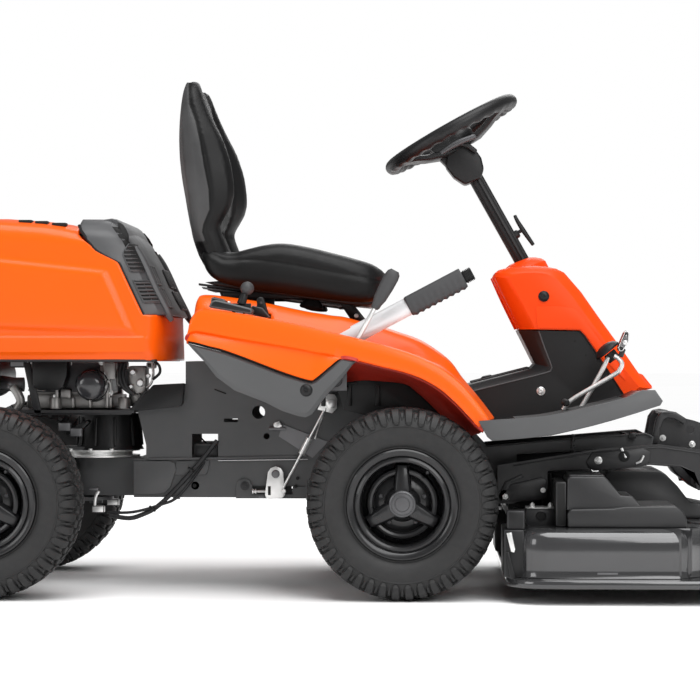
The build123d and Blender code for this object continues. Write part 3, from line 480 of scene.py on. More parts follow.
def lug(piece, stations, turn, mirror=1, skew=0.0):
    """One tread block: a chamfered bar bent over the carcass."""
    rows = []
    last = len(stations) - 1
    for i, ((radius, offset), half, height) in enumerate(stations):
        (r0, w0), (r1, w1) = stations[max(0, i - 1)][0], stations[min(last, i + 1)][0]
        length = math.hypot(r1 - r0, w1 - w0)
        out_r, out_w = abs(w0 - w1) / length, (r1 - r0) / length
        shrink = 0.72 if i in (0, last) else 1.0
        row = []
        for share, rise in ((-1.0, -1.5), (-0.97, height * 0.62), (-0.74, height), (0.74, height),
                            (0.97, height * 0.62), (1.0, -1.5)):
            lift = min(rise, rise * shrink)
            angle = math.radians(turn + half * share * shrink + skew * (i / last - 0.5))
            r = min(radius + out_r * lift, TYRE_R - 0.3)
            row.append((r * math.cos(angle), -mirror * (offset + out_w * lift), r * math.sin(angle)))
        rows.append(row)
    piece.grid(rows, wrap=True, caps=True)


def tyre_data():
    piece = Piece("tyre_rubber", None, "tyre", local)
    profile = CARCASS + [(r, -w) for r, w in reversed(CARCASS[:-1])]
    piece.lathe([(r, -w) for r, w in profile], (0, 0, 0), LEFT, 126, closed=True)
    pitch = 360 / LUGS
    for k in range(LUGS):
        for mirror in (1, -1):
            lug(piece, SHOULDER_LUG, k * pitch, mirror, 0.8)
            lug(piece, MIDDLE_LUG, (k + 0.5) * pitch, mirror, -2.4)
            lug(piece, GAP_LUG, (k + 0.5) * pitch, mirror)
            lug(piece, FINE_RIB, (k + 0.25) * pitch, mirror)
        lug(piece, CENTRE_LUG, k * pitch, 1, 2.8)
    return piece.data(30)


BARREL = [(103, 50), (103, 61), (107, 66), (112, 69.5), (115.5, 71.5), (116, 74), (113, 76), (107, 75.4),
          (102.6, 72), (101, 67), (99.6, 66), (98.6, 68), (94, 70), (89.8, 68.5), (87.8, 64), (86.5, 40),
          (86.5, -52), (97, -60), (103, -70), (109, -74.5), (114.5, -74), (115, -71), (108, -66),
          (103, -60)]
DISC = [(20, 22), (40, 22), (58, 14), (60.5, 16), (61.5, 33), (64, 37.5), (68.5, 39), (73, 37.5),
        (75.8, 33), (77, 14), (87, 10), (87, 4), (60, 4), (20, 12)]
HUB = [(14, -60), (33, -60), (33, 10), (39, 22), (38, 33), (33, 45), (29.5, 48), (28.5, 47), (14, 47)]
CAP = [(27.5, 44), (28.6, 50), (27.4, 54), (24.6, 55.6), (23.6, 54.7), (22.6, 54.7), (22, 55.9),
       (16.6, 56.9), (15.8, 56), (14.9, 56), (14.2, 57.2), (7, 57.8), (0, 58)]
SPOKES = (90, 210, 330)


def spoke(piece, turn):
    """Raised spoke, widest at the hub, with sloping flanks."""
    rows = []
    for radius, half, height in ((26, 15, 50), (34, 13.8, 49.5), (60, 11.6, 46.5), (77, 10, 43.5),
                                 (81, 9.6, 42), (83, 8.4, 39), (86, 7, 16)):
        section = ((-half - 6, 14), (-half - 4.5, height - 8), (-half, height - 1), (-half + 1.6, height),
                   (half - 1.6, height), (half, height - 1), (half + 4.5, height - 8), (half + 6, 14))
        angle = math.radians(turn)
        rows.append([(radius * math.cos(angle) - s * math.sin(angle), -h,
                      radius * math.sin(angle) + s * math.cos(angle)) for s, h in section])
    piece.grid(rows, wrap=True, caps=True)


def rim_data():
    piece = Piece("rim_steel", None, "rim", local)
    for profile, sides in ((BARREL, 96), (DISC, 72), (HUB, 48)):
        piece.lathe(profile, (0, 0, 0), RIGHT, sides, closed=True)
    piece.lathe(CAP, (0, 0, 0), RIGHT, 48, "cap")
    for turn in SPOKES:
        spoke(piece, turn)
    stem = math.radians(52)
    piece.tube([(r * math.cos(stem), -w, r * math.sin(stem)) for r, w in ((88, 44), (86, 56), (85, 74))],
               [4.5, 4, 3.2], finish="hose")
    for k in range(5):
        angle = math.radians(72 * k + 18)
        piece.bolt((48 * math.cos(angle), -19, 48 * math.sin(angle)), RIGHT, 5, 5, "casting", False)
    return piece.data(32)


def wheels():
    rubber, steel = tyre_data(), rim_data()
    for end, x in (("front", 0), ("rear", -WHEELBASE)):
        for side, y in (("right", -WHEEL_Y), ("left", WHEEL_Y)):
            turn = Matrix.Rotation(0 if y < 0 else math.pi, 4, "Z")
            place = Matrix.Translation(P(x, y, TYRE_R)) @ turn
            body = f"wheel_{end}_{side}"
            show(f"tread_{end}_{side}", rubber, body, [f"tyre_{end}_{side}"], place)
            show(f"wheel_disc_{end}_{side}", steel, body, [f"rim_{end}_{side}"], place)


wheels()


# ---------------------------------------------------------------- orange body
# Stations run from the rear tip to the foot plate: seam with the side cover, crease, near edge, crest.
BODY_LINES = [
    ((-455, 546), (-455.5, 547), (-455, 549), (-455, 551)),
    ((-440, 543), (-452, 559), (-450, 582), (-452, 600)),
    ((-428, 540), (-440, 566), (-442, 600), (-446, 634)),
    ((-410, 535), (-420, 564), (-424, 612), (-432, 645)),
    ((-372, 525), (-372, 555), (-380, 609), (-385, 641)),
    ((-315, 504), (-315, 545), (-315, 599), (-317, 631)),
    ((-252, 480), (-255, 535), (-255, 587.5), (-250, 617)),
    ((-197, 463), (-205, 526), (-206, 577), (-206, 608)),
    ((-182, 467), (-180, 521), (-180, 571), (-180, 604)),
    ((-155, 489), (-158, 518), (-158, 565.5), (-156, 600)),
    ((-127, 509), (-128, 511.5), (-130, 559), (-130, 597)),
    ((-90, 503), (-90, 506), (-96, 551), (-95, 588)),
    ((-47, 492), (-47, 495), (-52, 540), (-55, 578)),
    ((-1, 481), (0, 484), (-10, 528), (-17, 566)),
    ((41, 466), (42, 469), (36, 512), (40, 545)),
    ((79, 444), (80, 447), (84, 488), (98, 505)),
    ((110, 417), (111, 420), (124, 456), (128, 466)),
    ((138, 388), (139, 391), (155, 421), (158, 430)),
    ((157, 367), (158, 369), (176, 393), (180, 402)),
    ((170, 356), (171, 358), (186, 377), (197, 379)),
]
BODY_HALF = 400
HEIGHT_Y, LEVER_Y, THROTTLE_Y, CHOKE_Y = -372, -325, -352, -298
SEAM_LINE = [station[0] for station in BODY_LINES]
EDGE_LINE = [station[2] for station in BODY_LINES[3:]]


def body_section(station):
    """Points across one half of the body, from the seam inwards to the middle."""
    seam, crease, edge, crest = ((station[i], station[i + 1]) for i in (0, 2, 4, 6))
    x, z = edge
    fade = ease((x + 440) / 50) * (1 - ease((x - 20) / 70))
    rise = crest[1] - z
    scoop = ease((crease[1] - seam[1]) / 30)
    lower, upper = mix(seam, crease, 0.5), mix(crease, edge, 0.5)

    def point(y, share, drop=0.0):
        here = mix(edge, crest, share)
        return (here[0], y, here[1] - drop)
    return [
        (seam[0], -BODY_HALF + 1, seam[1]), (seam[0], -BODY_HALF - 5 * scoop, seam[1] + 1.5),
        (lower[0], -BODY_HALF - 0.5 * scoop, lower[1]),
        (crease[0], -BODY_HALF + 1 + 6 * scoop, crease[1] - 1.5),
        (crease[0], -BODY_HALF + 1, crease[1] + 1.5), (upper[0], -BODY_HALF + 0.5 + scoop, upper[1]),
        point(-BODY_HALF + 3, 0, 9), point(-BODY_HALF + 5, 0, 3.5), point(-BODY_HALF + 10, 0, 0.3),
        point(-385, 0.02), point(-382, 0.02, 4 * fade), point(-379, 0.03, 9 * fade),
        point(-372, 0.04, 10 * fade), point(-363, 0.05, 10 * fade), point(-349, 0.06, 10 * fade),
        point(-325, 0.08, 9.5 * fade), point(-301, 0.12, 9 * fade), point(-296, 0.2, 7 * fade),
        point(-286, 0.45, rise * 0.06), point(-272, 0.82), point(-262, 0.95, -1), point(-248, 1, -1.5),
        point(-200, 1, -2.5), point(-114, 1, -3), point(-50, 1, -3), point(0, 1, -3)]


# openings from above as ranges of x and y: filler neck, lift lever, height lever, console, choke
OPENINGS = [(-372, -288, -50, 50), (-235, -62, -349, -301), (-208, 10, -380, -363),
            (-414, -318, -386, -316), (-320, -280, -312, -290)]


def in_slot(spot):
    """True where the shell is open: lever slots, console pocket, filler neck and tunnel."""
    x, y, z = spot
    over_tunnel = abs(y) < 108 and x > 122 and z < 474
    return over_tunnel or any(x0 < x < x1 and y0 < y < y1 for x0, x1, y0, y1 in OPENINGS)


def body_panel():
    piece = Piece("body_panel", "chassis", "orange")
    stations = smooth_line([tuple(v for spot in station for v in spot) for station in BODY_LINES], 6)
    piece.grid([both_halves(body_section(station)) for station in stations], skip=in_slot)
    # Inner face of the shell in the darkened orange: painted shade.
    piece.finishes.append("orange_shade")
    wall(piece.done("body_shell", slot="orange_body", sharp=32), 3.6, inner=1)


def inner_fenders():
    """Inner walls of the wheel arches in the darkened orange (painted shade), and the dark liner behind them."""
    piece = Piece("inner_fenders", "chassis", "orange_shade")
    upper = [(-150, 492), (-120, 506), (-88, 502), (-45, 491), (0, 480), (40, 465), (78, 443), (109, 416),
             (137, 387), (156, 366), (170, 355)]
    lower = [(-150, 452), (-135, 458), (-89, 464), (-45, 462), (5, 456), (30, 439), (60, 412), (85, 387),
             (108, 366), (128, 352), (150, 344)]
    for sign in SIDES:
        rows = []
        for (x0, z0), (x1, z1) in zip(smooth_line(upper, 3), smooth_line(lower, 3)):
            bend_x, bend_z = mix((x0, z0), (x1, z1), 0.6)
            rows.append([(x0, sign * 394, z0), (x0 - 2, sign * 380, z0 + 1), (x0 - 6, sign * 330, z0 - 4),
                         (bend_x, sign * 275, bend_z), (x1, sign * 250, z1), (x1, sign * 246, z1)])
        piece.grid(rows)
    wall(piece.done(), 3)
    liner = Piece("arch_liner", "chassis", "black")
    outline = [(-236, 498), (-130, 500), (-60, 478), (10, 452), (60, 410), (104, 362), (118, 340),
               (60, 352), (-128, 396), (-142, 440), (-236, 446)]
    for sign in SIDES:
        liner.prism(outline, sign * 232, sign * 228, edge=2)
        for x in (-205, -178, -122, -60):
            liner.block(x, x + 10, sign * 236 - 3, sign * 236 + 3, 405, 486 if x < -100 else 450, edge=2)
        liner.block(-215, -100, sign * 237 - 3, sign * 237 + 3, 452, 458, edge=2)
    liner.done()


def side_cover():
    piece = Piece("side_cover_panels", "chassis", "grey")
    outline = [(-453, 541), (-441, 527), (-417, 502), (-392, 470), (-354, 442), (-286, 415), (-252, 398),
               (-221, 388), (-204, 385), (-191, 391), (-178, 408), (-155, 437), (-132, 461), (-104, 497),
               (-97, 503), (-124, 508.5), (-130, 506), (-156, 485), (-182, 462), (-190, 458), (-198, 458),
               (-253, 475.5), (-316, 500), (-373, 521)]
    face = [(-440, 534), (-428, 522), (-408, 500), (-385, 475), (-350, 451), (-283, 424), (-250, 408),
            (-219, 397), (-204, 394), (-196, 399), (-185, 413), (-162, 442), (-139, 465), (-112, 494),
            (-108, 499), (-124, 504), (-130, 501), (-154, 481), (-180, 458), (-189, 454), (-198, 454),
            (-253, 471), (-316, 495), (-373, 516)]
    for sign in SIDES:
        rows = [[(x, sign * y, z) for x, z in line]
                for y, line in ((388, outline), (397, outline), (399.5, face), (402, face))]
        rows[2] = [mix(a, b, 0.5) for a, b in zip(rows[1], rows[3])]
        piece.grid(rows, wrap=True, caps=True)
        # Near-black tubes along the seam with the orange panel: painted shade in the gap.
        seam = [(x, sign * 393, z - 1) for x, z in SEAM_LINE[:11]]
        piece.tube(seam, 3.4, 8, 3, "shade_hole")
        piece.tube([(x, sign * 392, z - 2) for x, z in SEAM_LINE[10:]], 2.2, 8, 3, "shade_hole")
    piece.done("side_covers", slot="cover_grey", sharp=28)


def screw_heads():
    piece = Piece("panel_screws", "chassis", "black")
    for x, z, y, radius, finish in ((-202, 442, 402, 11, "black"), (310, 646, 117, 9.5, "black"),
                                    (304, 436, 110, 7, "zinc")):
        head = [(radius + 2.5, -6), (radius + 2.5, 0.2), (radius + 1.2, 1.0), (radius, 0.4), (radius, 1),
                (radius * 0.8, 2.6), (radius * 0.42, 3.0), (radius * 0.36, 0.6), (0, 0.4)]
        for sign in SIDES:
            piece.lathe(head, (x, sign * y, z), (0, sign, 0), 32, finish)
    piece.done("cover_screws", slot="screw_black")


def console_group():
    piece = Piece("console_plate", "chassis", "grey")
    outline = [(-410, 617), (-404, 630), (-396, 633), (-388, 632), (-320, 615), (-316, 609), (-320, 602)]
    piece.prism(outline, -384, -320, "y", "black", 4, 3)
    piece.prism([(-406, 627), (-404, 639), (-374, 632), (-376, 620)], -378, -328, "y", "black", 2.5)
    piece.prism([(-401, 634), (-400, 639.6), (-378, 634.6), (-379, 629)], -372, -334, "y", "screen", 0.8)
    for k in range(3):
        piece.lathe([(3, 0), (3, 3), (2, 4)], (-368 + k * 0.5, -376 + k * 3, 626), (0.2, 0, 1), 12, "zinc")
    # Near-black block in the throttle slot: painted shade.
    piece.block(-362, -322, THROTTLE_Y - 5, THROTTLE_Y + 5, 604, 626, "shade_hole", 0.5)
    piece.prism([(-330, 606), (-322, 622), (-300, 617), (-284, 598), (-292, 592)], -322, -300, "y",
                "black", 2)
    piece.block(-354, -336, -379, -376, 598, 620, "zinc", 1)
    piece.done("console", slot="console_grey")


def slot_liners():
    """Near-black wells under the lever slots, painted shade so that each slot reads as a depth."""
    piece = Piece("slot_wells", "chassis", "shade_hole")
    for x0, x1, y0, y1 in ((-236, -60, -352, -298), (-210, 12, -383, -361)):
        rows = []
        for x in range(x0, x1 + 1, 12):
            top = along(EDGE_LINE, x) - 12
            rows.append([(x, y0, top), (x, y0 + 1, top - 26), (x, y1 - 1, top - 26), (x, y1, top)])
        piece.grid(rows)
    piece.done()


body_panel()
inner_fenders()
side_cover()
screw_heads()
console_group()
slot_liners()


# ---------------------------------------------------------------- hood and vent
VENT_LINE = [(603, -563), (660, -590), (717, -617), (741, -665), (765, -684), (791, -704), (830, -708)]
FACE_LINE = [(603, -513), (610, -514), (632, -529), (683, -553), (716, -567), (767, -594), (789, -612),
             (806, -626), (820, -645)]
HOOD_HALF = 265
SIDE_PANEL = [(-1010, 572), (-576, 556), (-640, 704), (-1010, 744)]


def level(line, z):
    """Position at a height, for lines listed from low to high."""
    for (z0, x0), (z1, x1) in zip(line, line[1:]):
        if z <= z1:
            return x0 + (x1 - x0) * max(0.0, (z - z0) / (z1 - z0))
    return line[-1][1]


def hood_side(z):
    """Half width of the hood at a height."""
    if z < 520:
        return HOOD_HALF - 7 + 5 * (z - 503) / 17
    return HOOD_HALF - 2 + 2 * math.sin(math.pi * (z - 520) / 240)


HOOD_SHOULDER = [(262.5, 768), (259, 780), (252, 789.5), (242, 796), (226, 801.5), (200, 805.5), (150, 809),
                 (80, 811.5), (0, 812.5)]
HOOD_TOP = [(-1160, 8), (-874, 8), (-786, 2), (-743, -4), (-704, -12), (-640, -20)]
HOOD_TAIL = [(-1040, 1.0), (-1075, 0.992), (-1105, 0.965), (-1128, 0.92), (-1143, 0.86), (-1152, 0.76),
             (-1157, 0.55), (-1159, 0.28), (-1160, 0.02)]


def waist(z):
    """How far the belt line round the hood's foot stands out at a height."""
    return 3.0 * (ease((z - 519) / 3) - ease((z - 553) / 5))


def hood_spot(x, y, z):
    """Adds the raised side panel and the waist line to the hood's side."""
    raised = 7.0 * ease(inside_depth(SIDE_PANEL, x, z) / 17)
    band = waist(z) if x > SIDE_PANEL[0][0] else 0.0
    return (x, y - raised - band, z)


def hood_panel():
    piece = Piece("hood_panel", "hood", "orange")
    section = [(hood_side(503 + 5 * k), 503 + 5 * k) for k in range(52)] + HOOD_SHOULDER
    steps = 62
    rows = []
    for k in range(steps + 1):
        row = []
        for y, z in section:
            front = level(VENT_LINE, z) if z > 603 else -563
            x = front + (-1020 - front) * (k / steps)
            row.append(hood_spot(x, -y, z + along(HOOD_TOP, x) * ease((z - 745) / 45)))
        rows.append(row)
    for x, share in HOOD_TAIL:
        rows.append([(x, -y * share, 655 + (z + HOOD_TOP[0][1] * ease((z - 745) / 45) - 655) * share)
                     for y, z in section])
    piece.grid([both_halves(row) for row in rows])
    front_wrap(piece)
    # Inner face of the hood in the darkened orange: painted shade.
    piece.finishes.append("orange_shade")
    wall(piece.done("hood", slot="orange_hood", sharp=24), 3.0, inner=1)


def front_wrap(piece):
    """Lower front of the hood: round corners and the cross face under the vent."""
    rows = []
    for k in range(21):
        z = 503 + 5 * k
        side = hood_side(z)
        band = waist(z)
        lean = 4 * (1 - (z - 503) / 100)
        rows.append(both_halves([
            (-563, -side - band, z), (-556, -side - band * 0.6, z), (-548, -side + 1.5, z),
            (-540, -side + 6, z), (-534, -side + 12, z), (-529.5, -side + 21, z),
            (-526 + lean, -side + 38, z), (-521 + lean, -side + 75, z), (-516 + lean, -130, z),
            (-513 + lean, -60, z), (-512 + lean, 0, z)]))
    piece.grid(rows)


def hood_trim():
    """Near-black top slots (painted shade), hinge hardware, the dark gasket round the hood's open edges and a
    near-black line of painted shade along the vent.
    """
    piece = Piece("hood_trim", "hood", "shade_hole")
    for x0, x1 in ((-839, -810), (-803, -775), (-766, -735)):
        lift = along(HOOD_TOP, x0)
        for y in (-216, 216):
            piece.block(x0, x1, y - 14, y + 14, 797 + lift, 805.5 + lift, "shade_hole", 1.5)
    gasket = [(-535, -246, 504), (-560, -257, 504), (-700, -258, 504), (-900, -258, 504),
              (-1040, -256, 504)]
    for sign in (1, -1):
        piece.tube([(x, sign * y, z) for x, y, z in gasket], 3, 8, 2, "hose")
        # Near-black line where the hood meets the vent: painted shade in the gap.
        line = [(level(VENT_LINE, z) + 2, sign * (-HOOD_HALF + 4 + 0.1 * max(0, z - 755)), z)
                for z in range(603, 800, 14)]
        piece.tube(line, 3.2, 8, 2, "shade_hole")
    piece.tube([(-1125, -104, 515), (-1125, 104, 515)], 6, finish="zinc", steps=2)
    for y in (-100, 92):
        piece.prism([(-1146, 580), (-1138, 505), (-1112, 505), (-1112, 560), (-1130, 600)], y, y + 8,
                    "y", "steel_black")
    piece.done(slot="orange_hood")


def vent_section(z):
    """Plan points of the vent at a height, from the hood line to the middle."""
    low = min(z, 791)
    side_x, face_x = level(VENT_LINE, low) + 1.5, level(FACE_LINE, z)
    top = ease((z - 770) / 50)
    side_y = -HOOD_HALF + 2 + 42 * top
    bend = max(side_x + 14, face_x - 34)
    return [(side_x, side_y, z), (side_x + 5, side_y - 0.5, z), (blend(side_x, bend, 0.5), side_y + 1, z),
            (bend, side_y + 5, z), (blend(bend, face_x, 0.55), side_y + 13, z),
            (face_x - 7, side_y + 24, z), (face_x - 1, side_y + 36, z), (face_x + 2, side_y + 60, z),
            (face_x + 4, -120, z), (face_x + 5, -50, z), (face_x + 5.5, 0, z)]


def vent_skin(x, z, out=0.0):
    """Half width of the vent's skin at a side-view spot, moved outwards."""
    section = vent_section(z)
    for (x0, y0, _), (x1, y1, _) in zip(section, section[1:]):
        if x <= x1:
            return -(y0 + (y1 - y0) * max(0.0, (x - x0) / max(x1 - x0, 0.01))) + out
    return 120 + out


UPPER_BANK = ([(697, -590), (722, -602), (737, -608), (757, -597)], [(697, -563), (757, -586)])
LOWER_BANK = ([(630, -562), (678, -585)], [(630, -530), (678, -552)])


def louvres(piece, bank, count):
    """Near-black pocket in the vent's corner, painted shade, with a bank of slats."""
    left, right = bank
    bottom, top = right[0][0], right[-1][0]
    shares = [k / 6 for k in range(7)]

    def at(z, share, out, sign):
        x = blend(level(left, z), level(right, z), share)
        return x + out * 0.5, sign * vent_skin(x, z, out), z
    for sign in SIDES:
        levels = [bottom + (top - bottom) * k / 8 for k in range(9)]
        piece.grid([[at(z, share, 0.7, sign) for share in shares] for z in levels], "shade_hole")
        for k in range(count):
            z = bottom + (top - bottom) * (k + 0.5) / count
            rows = []
            for share in shares:
                x, y, _ = at(z, share, 0, sign)
                rows.append([(x, y - sign, z - 1.6), (x + 2, y + sign * 3.4, z - 3.2),
                             (x + 2, y + sign * 4.4, z - 0.8), (x, y - sign, z + 2.4)])
            piece.grid(rows, "vent", wrap=True, caps=True)
        rim = [at(z, 0, 1.5, sign) for z in levels] + [at(top, share, 1.5, sign) for share in shares[1:]]
        rim += [at(z, 1, 1.5, sign) for z in levels[-2::-1]] + [at(bottom, share, 1.5, sign)
                                                               for share in shares[-2:0:-1]]
        piece.tube(rim, 1.7, 6, 1, "vent", closed=True)


HANDLE = [(-704, 799), (-690, 806), (-662, 813), (-640, 816), (-628, 814), (-618, 807), (-608, 793),
          (-592, 762), (-590, 752), (-600, 750), (-620, 780), (-644, 796), (-690, 794)]


def handle(piece):
    """Arch across the top of the vent with a near-black hand pocket, painted shade, at each end."""
    rows = []
    for y, shrink in ((-198, 0.1), (-194, 0.03), (-186, 0), (186, 0), (194, 0.03), (198, 0.1)):
        rows.append([(x + (-630 - x) * shrink, y, z + (790 - z) * shrink) for x, z in HANDLE])
    piece.grid(rows, wrap=True, caps=True)
    for sign in SIDES:
        rows = []
        for z in (750, 762, 774, 786, 796):
            x = level(FACE_LINE, z)
            rows.append([(x + shift, sign * vent_skin(x + shift, z, 1.0), z)
                         for shift in (-16, -12, -8, -4)] + [(x + 2, sign * 199, z)])
        piece.grid(rows, "shade_hole")


def vent():
    piece = Piece("hood_vent_cover", "hood", "vent")
    heights = [603, 606, 620, 640, 660, 683, 700, 716, 735, 750, 767, 780, 789, 797, 803]
    rows = [vent_section(z) for z in heights]
    crown = [((-640, 810), 0.9), ((-656, 813.5), 0.84), ((-676, 812), 0.82), ((-700, 805), 0.84),
             ((-706, 801), 0.85)]
    last = rows[-1]
    for (front, z), share in crown:
        row = []
        for i, (x, y, _) in enumerate(last):
            row.append((min(x, front + i * 0.4) if i > 2 else max(-706, min(x, front)), y * share, z))
        rows.append(row)
    piece.grid([both_halves(row) for row in rows])
    louvres(piece, UPPER_BANK, 7)
    louvres(piece, LOWER_BANK, 6)
    handle(piece)
    for sign in SIDES:
        # Near-black openings under the handle: painted shade.
        opening = [((-624, 806), (-622, 792)), ((-613, 802), (-611, 774)), ((-604, 790), (-603, 766)),
                   ((-597, 776), (-597, 760))]
        piece.grid([[(x, sign * vent_skin(min(x, level(FACE_LINE, z) - 4), z, 1.2), z)
                     for x, z in (top, mix(top, low, 0.5), low)] for top, low in opening], "shade_hole")
        rib = [(level(FACE_LINE, z) + 1, sign * 224, z) for z in (752, 730, 700, 660, 620, 604)]
        piece.tube(rib + [(-504, sign * 222, 590)], [6, 9, 10, 10, 9, 8, 5], 8, 3)
        # Near-black slots with grey borders: painted shade inside each slot.
        for low, high in ((672, 712), (622, 662)):
            for middle in (188, 150, 112):
                corners = [[(level(FACE_LINE, z) + 5.5, sign * y, z) for y in (middle - 13, middle + 13)]
                           for z in (low, high)]
                piece.grid(corners, "shade_hole")
                border = [(x + 1.5, y, z) for x, y, z in corners[0] + corners[1][::-1]]
                piece.tube(border, 2.6, 6, 1, "grey", closed=True)
    wall(piece.done("hood_vent", slot="vent_grey", sharp=30), 2.5)


hood_panel()
hood_trim()
vent()


# ---------------------------------------------------------------- seat
CUSHION_STATIONS = [  # x, half width, top, bottom
    (-38, 128, 694, 664), (-42, 176, 700, 650), (-52, 204, 706, 640), (-72, 224, 717, 632),
    (-110, 233, 728, 632), (-160, 235, 741, 638), (-210, 235, 753, 644), (-260, 235, 761, 651),
    (-300, 235, 758, 656), (-340, 235, 749, 662), (-370, 234, 742, 667), (-395, 232, 746, 674),
    (-415, 228, 752, 684), (-430, 220, 756, 700), (-440, 205, 758, 722)]
SIDE_SEAM = [(-470, 752), (-425, 742), (-410, 733), (-392, 723), (-316, 725), (-235, 713), (-140, 695),
             (-30, 674)]
BACK_STATIONS = [  # z, rear x, bolster front x, half width
    (700, -431, -392, 196), (716, -439, -380, 208), (738, -449, -380, 214), (765, -460, -390, 219),
    (795, -470, -400, 222), (820, -475, -388, 224), (842, -479, -376, 225), (866, -483, -370, 225),
    (900, -489, -371, 225), (940, -494, -378, 222), (987, -497, -394, 214), (1035, -497, -418, 196),
    (1080, -494, -438, 176), (1106, -490, -447, 158), (1122, -485, -454, 136)]
BACK_SEAM = [(690, -398), (733, -410), (750, -425), (785, -437), (801, -434), (833, -420), (877, -422),
             (932, -433), (987, -443), (1031, -454), (1068, -469), (1130, -475)]


def cushion_rows():
    rows = []
    for x, half, top, bottom in smooth_line(CUSHION_STATIONS, 3):
        side = [(0, top - 14), (0.5, top - 12), (0.7, top - 5), (0.8, top), (0.89, top - 3),
                (0.95, top - 12), (0.985, top - 26), (1.0, (top + bottom) / 2), (0.998, bottom + 18),
                (0.98, bottom + 6), (0.93, bottom), (0.5, bottom), (0, bottom)]
        right = [(x, -half * share, z) for share, z in side]
        rows.append(right + [(x, -y, z) for _, y, z in reversed(right[1:-1])])
    return rows


def back_rows():
    rows = []
    for z, rear, front, half in smooth_line(BACK_STATIONS, 3):
        deep = front - rear
        side = [(0, front - deep * 0.42), (0.4, front - deep * 0.4), (0.64, front - deep * 0.24),
                (0.78, front - deep * 0.04), (0.87, front), (0.95, front - deep * 0.1),
                (1.0, front - deep * 0.4), (0.99, rear + deep * 0.34), (0.93, rear + deep * 0.12),
                (0.75, rear + 2), (0.4, rear), (0, rear)]
        right = [(x, -half * share, z) for share, x in side]
        rows.append(right + [(x, -y, z) for x, y, _ in reversed(right[1:-1])])
    return rows


VOXEL, PUFF_LIMIT = 0.0055, 0.024
SEAM_REACH, SEAM_SPAN = 6.5, 24.0
PUFF_FRAMES = 20
CLOTH = {"quality": 4, "mass": 0.3, "use_pressure": True, "uniform_pressure_force": 4.0,
         "tension_stiffness": 25, "compression_stiffness": 25, "bending_stiffness": 1.2,
         "vertex_group_mass": "held"}


def seam_groove(x, y, z, is_back):
    """How far a seat surface point is pulled in by the seams near it, in millimetres."""
    if is_back:
        seams = [(x - level(BACK_SEAM, z), 2.5)] if abs(y) > 120 else []
        if x > level(BACK_SEAM, z) + 6 and z < 1096:
            seams.append((abs(y) - 0.64 * 222 + 0.12 * max(0, z - 960), 4.0))
            if abs(y) < 144:
                seams.append((z - 800, 4.0))
    else:
        seams = [(z - along(SIDE_SEAM, x), 2.5)]
        if z > along(SIDE_SEAM, x) + 12:
            seams.append((abs(y) - 150, 4.0))
            if abs(y) < 150:
                seams.append((x + 118, 3.5))
    return max([depth * (1 - ease(abs(gap) / SEAM_REACH)) for gap, depth in seams], default=0.0)


def remeshed(rows, name):
    """Even mesh of a closed form, fine enough for cloth and for seams."""
    piece = Piece(name + "_form", "seat", "vinyl")
    piece.grid(rows, wrap=True, caps=True)
    source = link(bpy.data.objects.new(name + "_form", piece.data()))
    remesh = source.modifiers.new("even", "REMESH")
    remesh.mode = "VOXEL"
    remesh.voxel_size = VOXEL
    evaluated = source.evaluated_get(bpy.context.evaluated_depsgraph_get())
    mesh = bpy.data.meshes.new_from_object(evaluated)
    bpy.data.objects.remove(source)
    return mesh




def sew(mesh, is_back):
    """Pulls the seams in, marks each side of the side seam and returns a holding weight per vertex."""
    weights = []
    side = mesh.attributes.new("seam_side", "FLOAT", "POINT")
    for index, normal in enumerate([v.normal.copy() for v in mesh.vertices]):
        vertex = mesh.vertices[index]
        x, y, z = (vertex.co.x - AXLE_X) * 1000, vertex.co.y * 1000, vertex.co.z * 1000
        pull = seam_groove(x, y, z, is_back)
        vertex.co -= normal * pull / 1000
        held = x < -468 if is_back else z < 668 - (x + 340) * 0.13 and abs(y) < 200
        weights.append(1.0 if held else min(1.0, pull / 2.5))
        gap = (level(BACK_SEAM, z) - x if is_back else min(along(SIDE_SEAM, x) - z, 0.0))
        if is_back and z < 770:
            gap = min(gap, (z - 770) * 0.6 + 6)
        # The back's centre panel gets the lighter tone as well: painted sheen.
        if is_back and x > level(BACK_SEAM, z) + 12 and z > 800:
            gap = max(gap, min(132 - 0.12 * max(0, z - 960) - abs(y), 1092 - z, z - 806))
        side.data[index].value = min(1.0, max(0.0, 0.5 + gap / SEAM_SPAN))
    return weights


def puff(obj, weights):
    """Inflates a closed form as cloth, held at its seams and at its base."""
    rest = [v.co.copy() for v in obj.data.vertices]
    group = obj.vertex_groups.new(name="held")
    for i, weight in enumerate(weights):
        group.add([i], weight, "REPLACE")
    cloth = obj.modifiers.new("cloth", "CLOTH")
    for key, value in CLOTH.items():
        setattr(cloth.settings, key, value)
    cloth.settings.effector_weights.gravity = 0.0
    cloth.collision_settings.use_self_collision = False
    scene = bpy.context.scene
    for number in range(1, PUFF_FRAMES + 1):
        scene.frame_set(number)
    evaluated = obj.evaluated_get(bpy.context.evaluated_depsgraph_get())
    moved = [v.co.copy() for v in evaluated.data.vertices]
    obj.modifiers.remove(cloth)
    scene.frame_set(1)
    for vertex, start, end in zip(obj.data.vertices, rest, moved):
        step = end - start
        if step.length > PUFF_LIMIT:
            step *= PUFF_LIMIT / step.length
        vertex.co = start + step


def cushion(name, node, rows, is_back):
    mesh = remeshed(rows, name)
    weights = sew(mesh, is_back)
    mesh.materials.clear()
    mesh.materials.append(M["vinyl"])
    obj = link(bpy.data.objects.new(name, mesh))
    puff(obj, weights)
    mesh.polygons.foreach_set("use_smooth", [True] * len(mesh.polygons))
    smooth = obj.modifiers.new("soft", "SUBSURF")
    smooth.levels = smooth.render_levels = 1
    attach(obj, "seat")
    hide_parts(node)


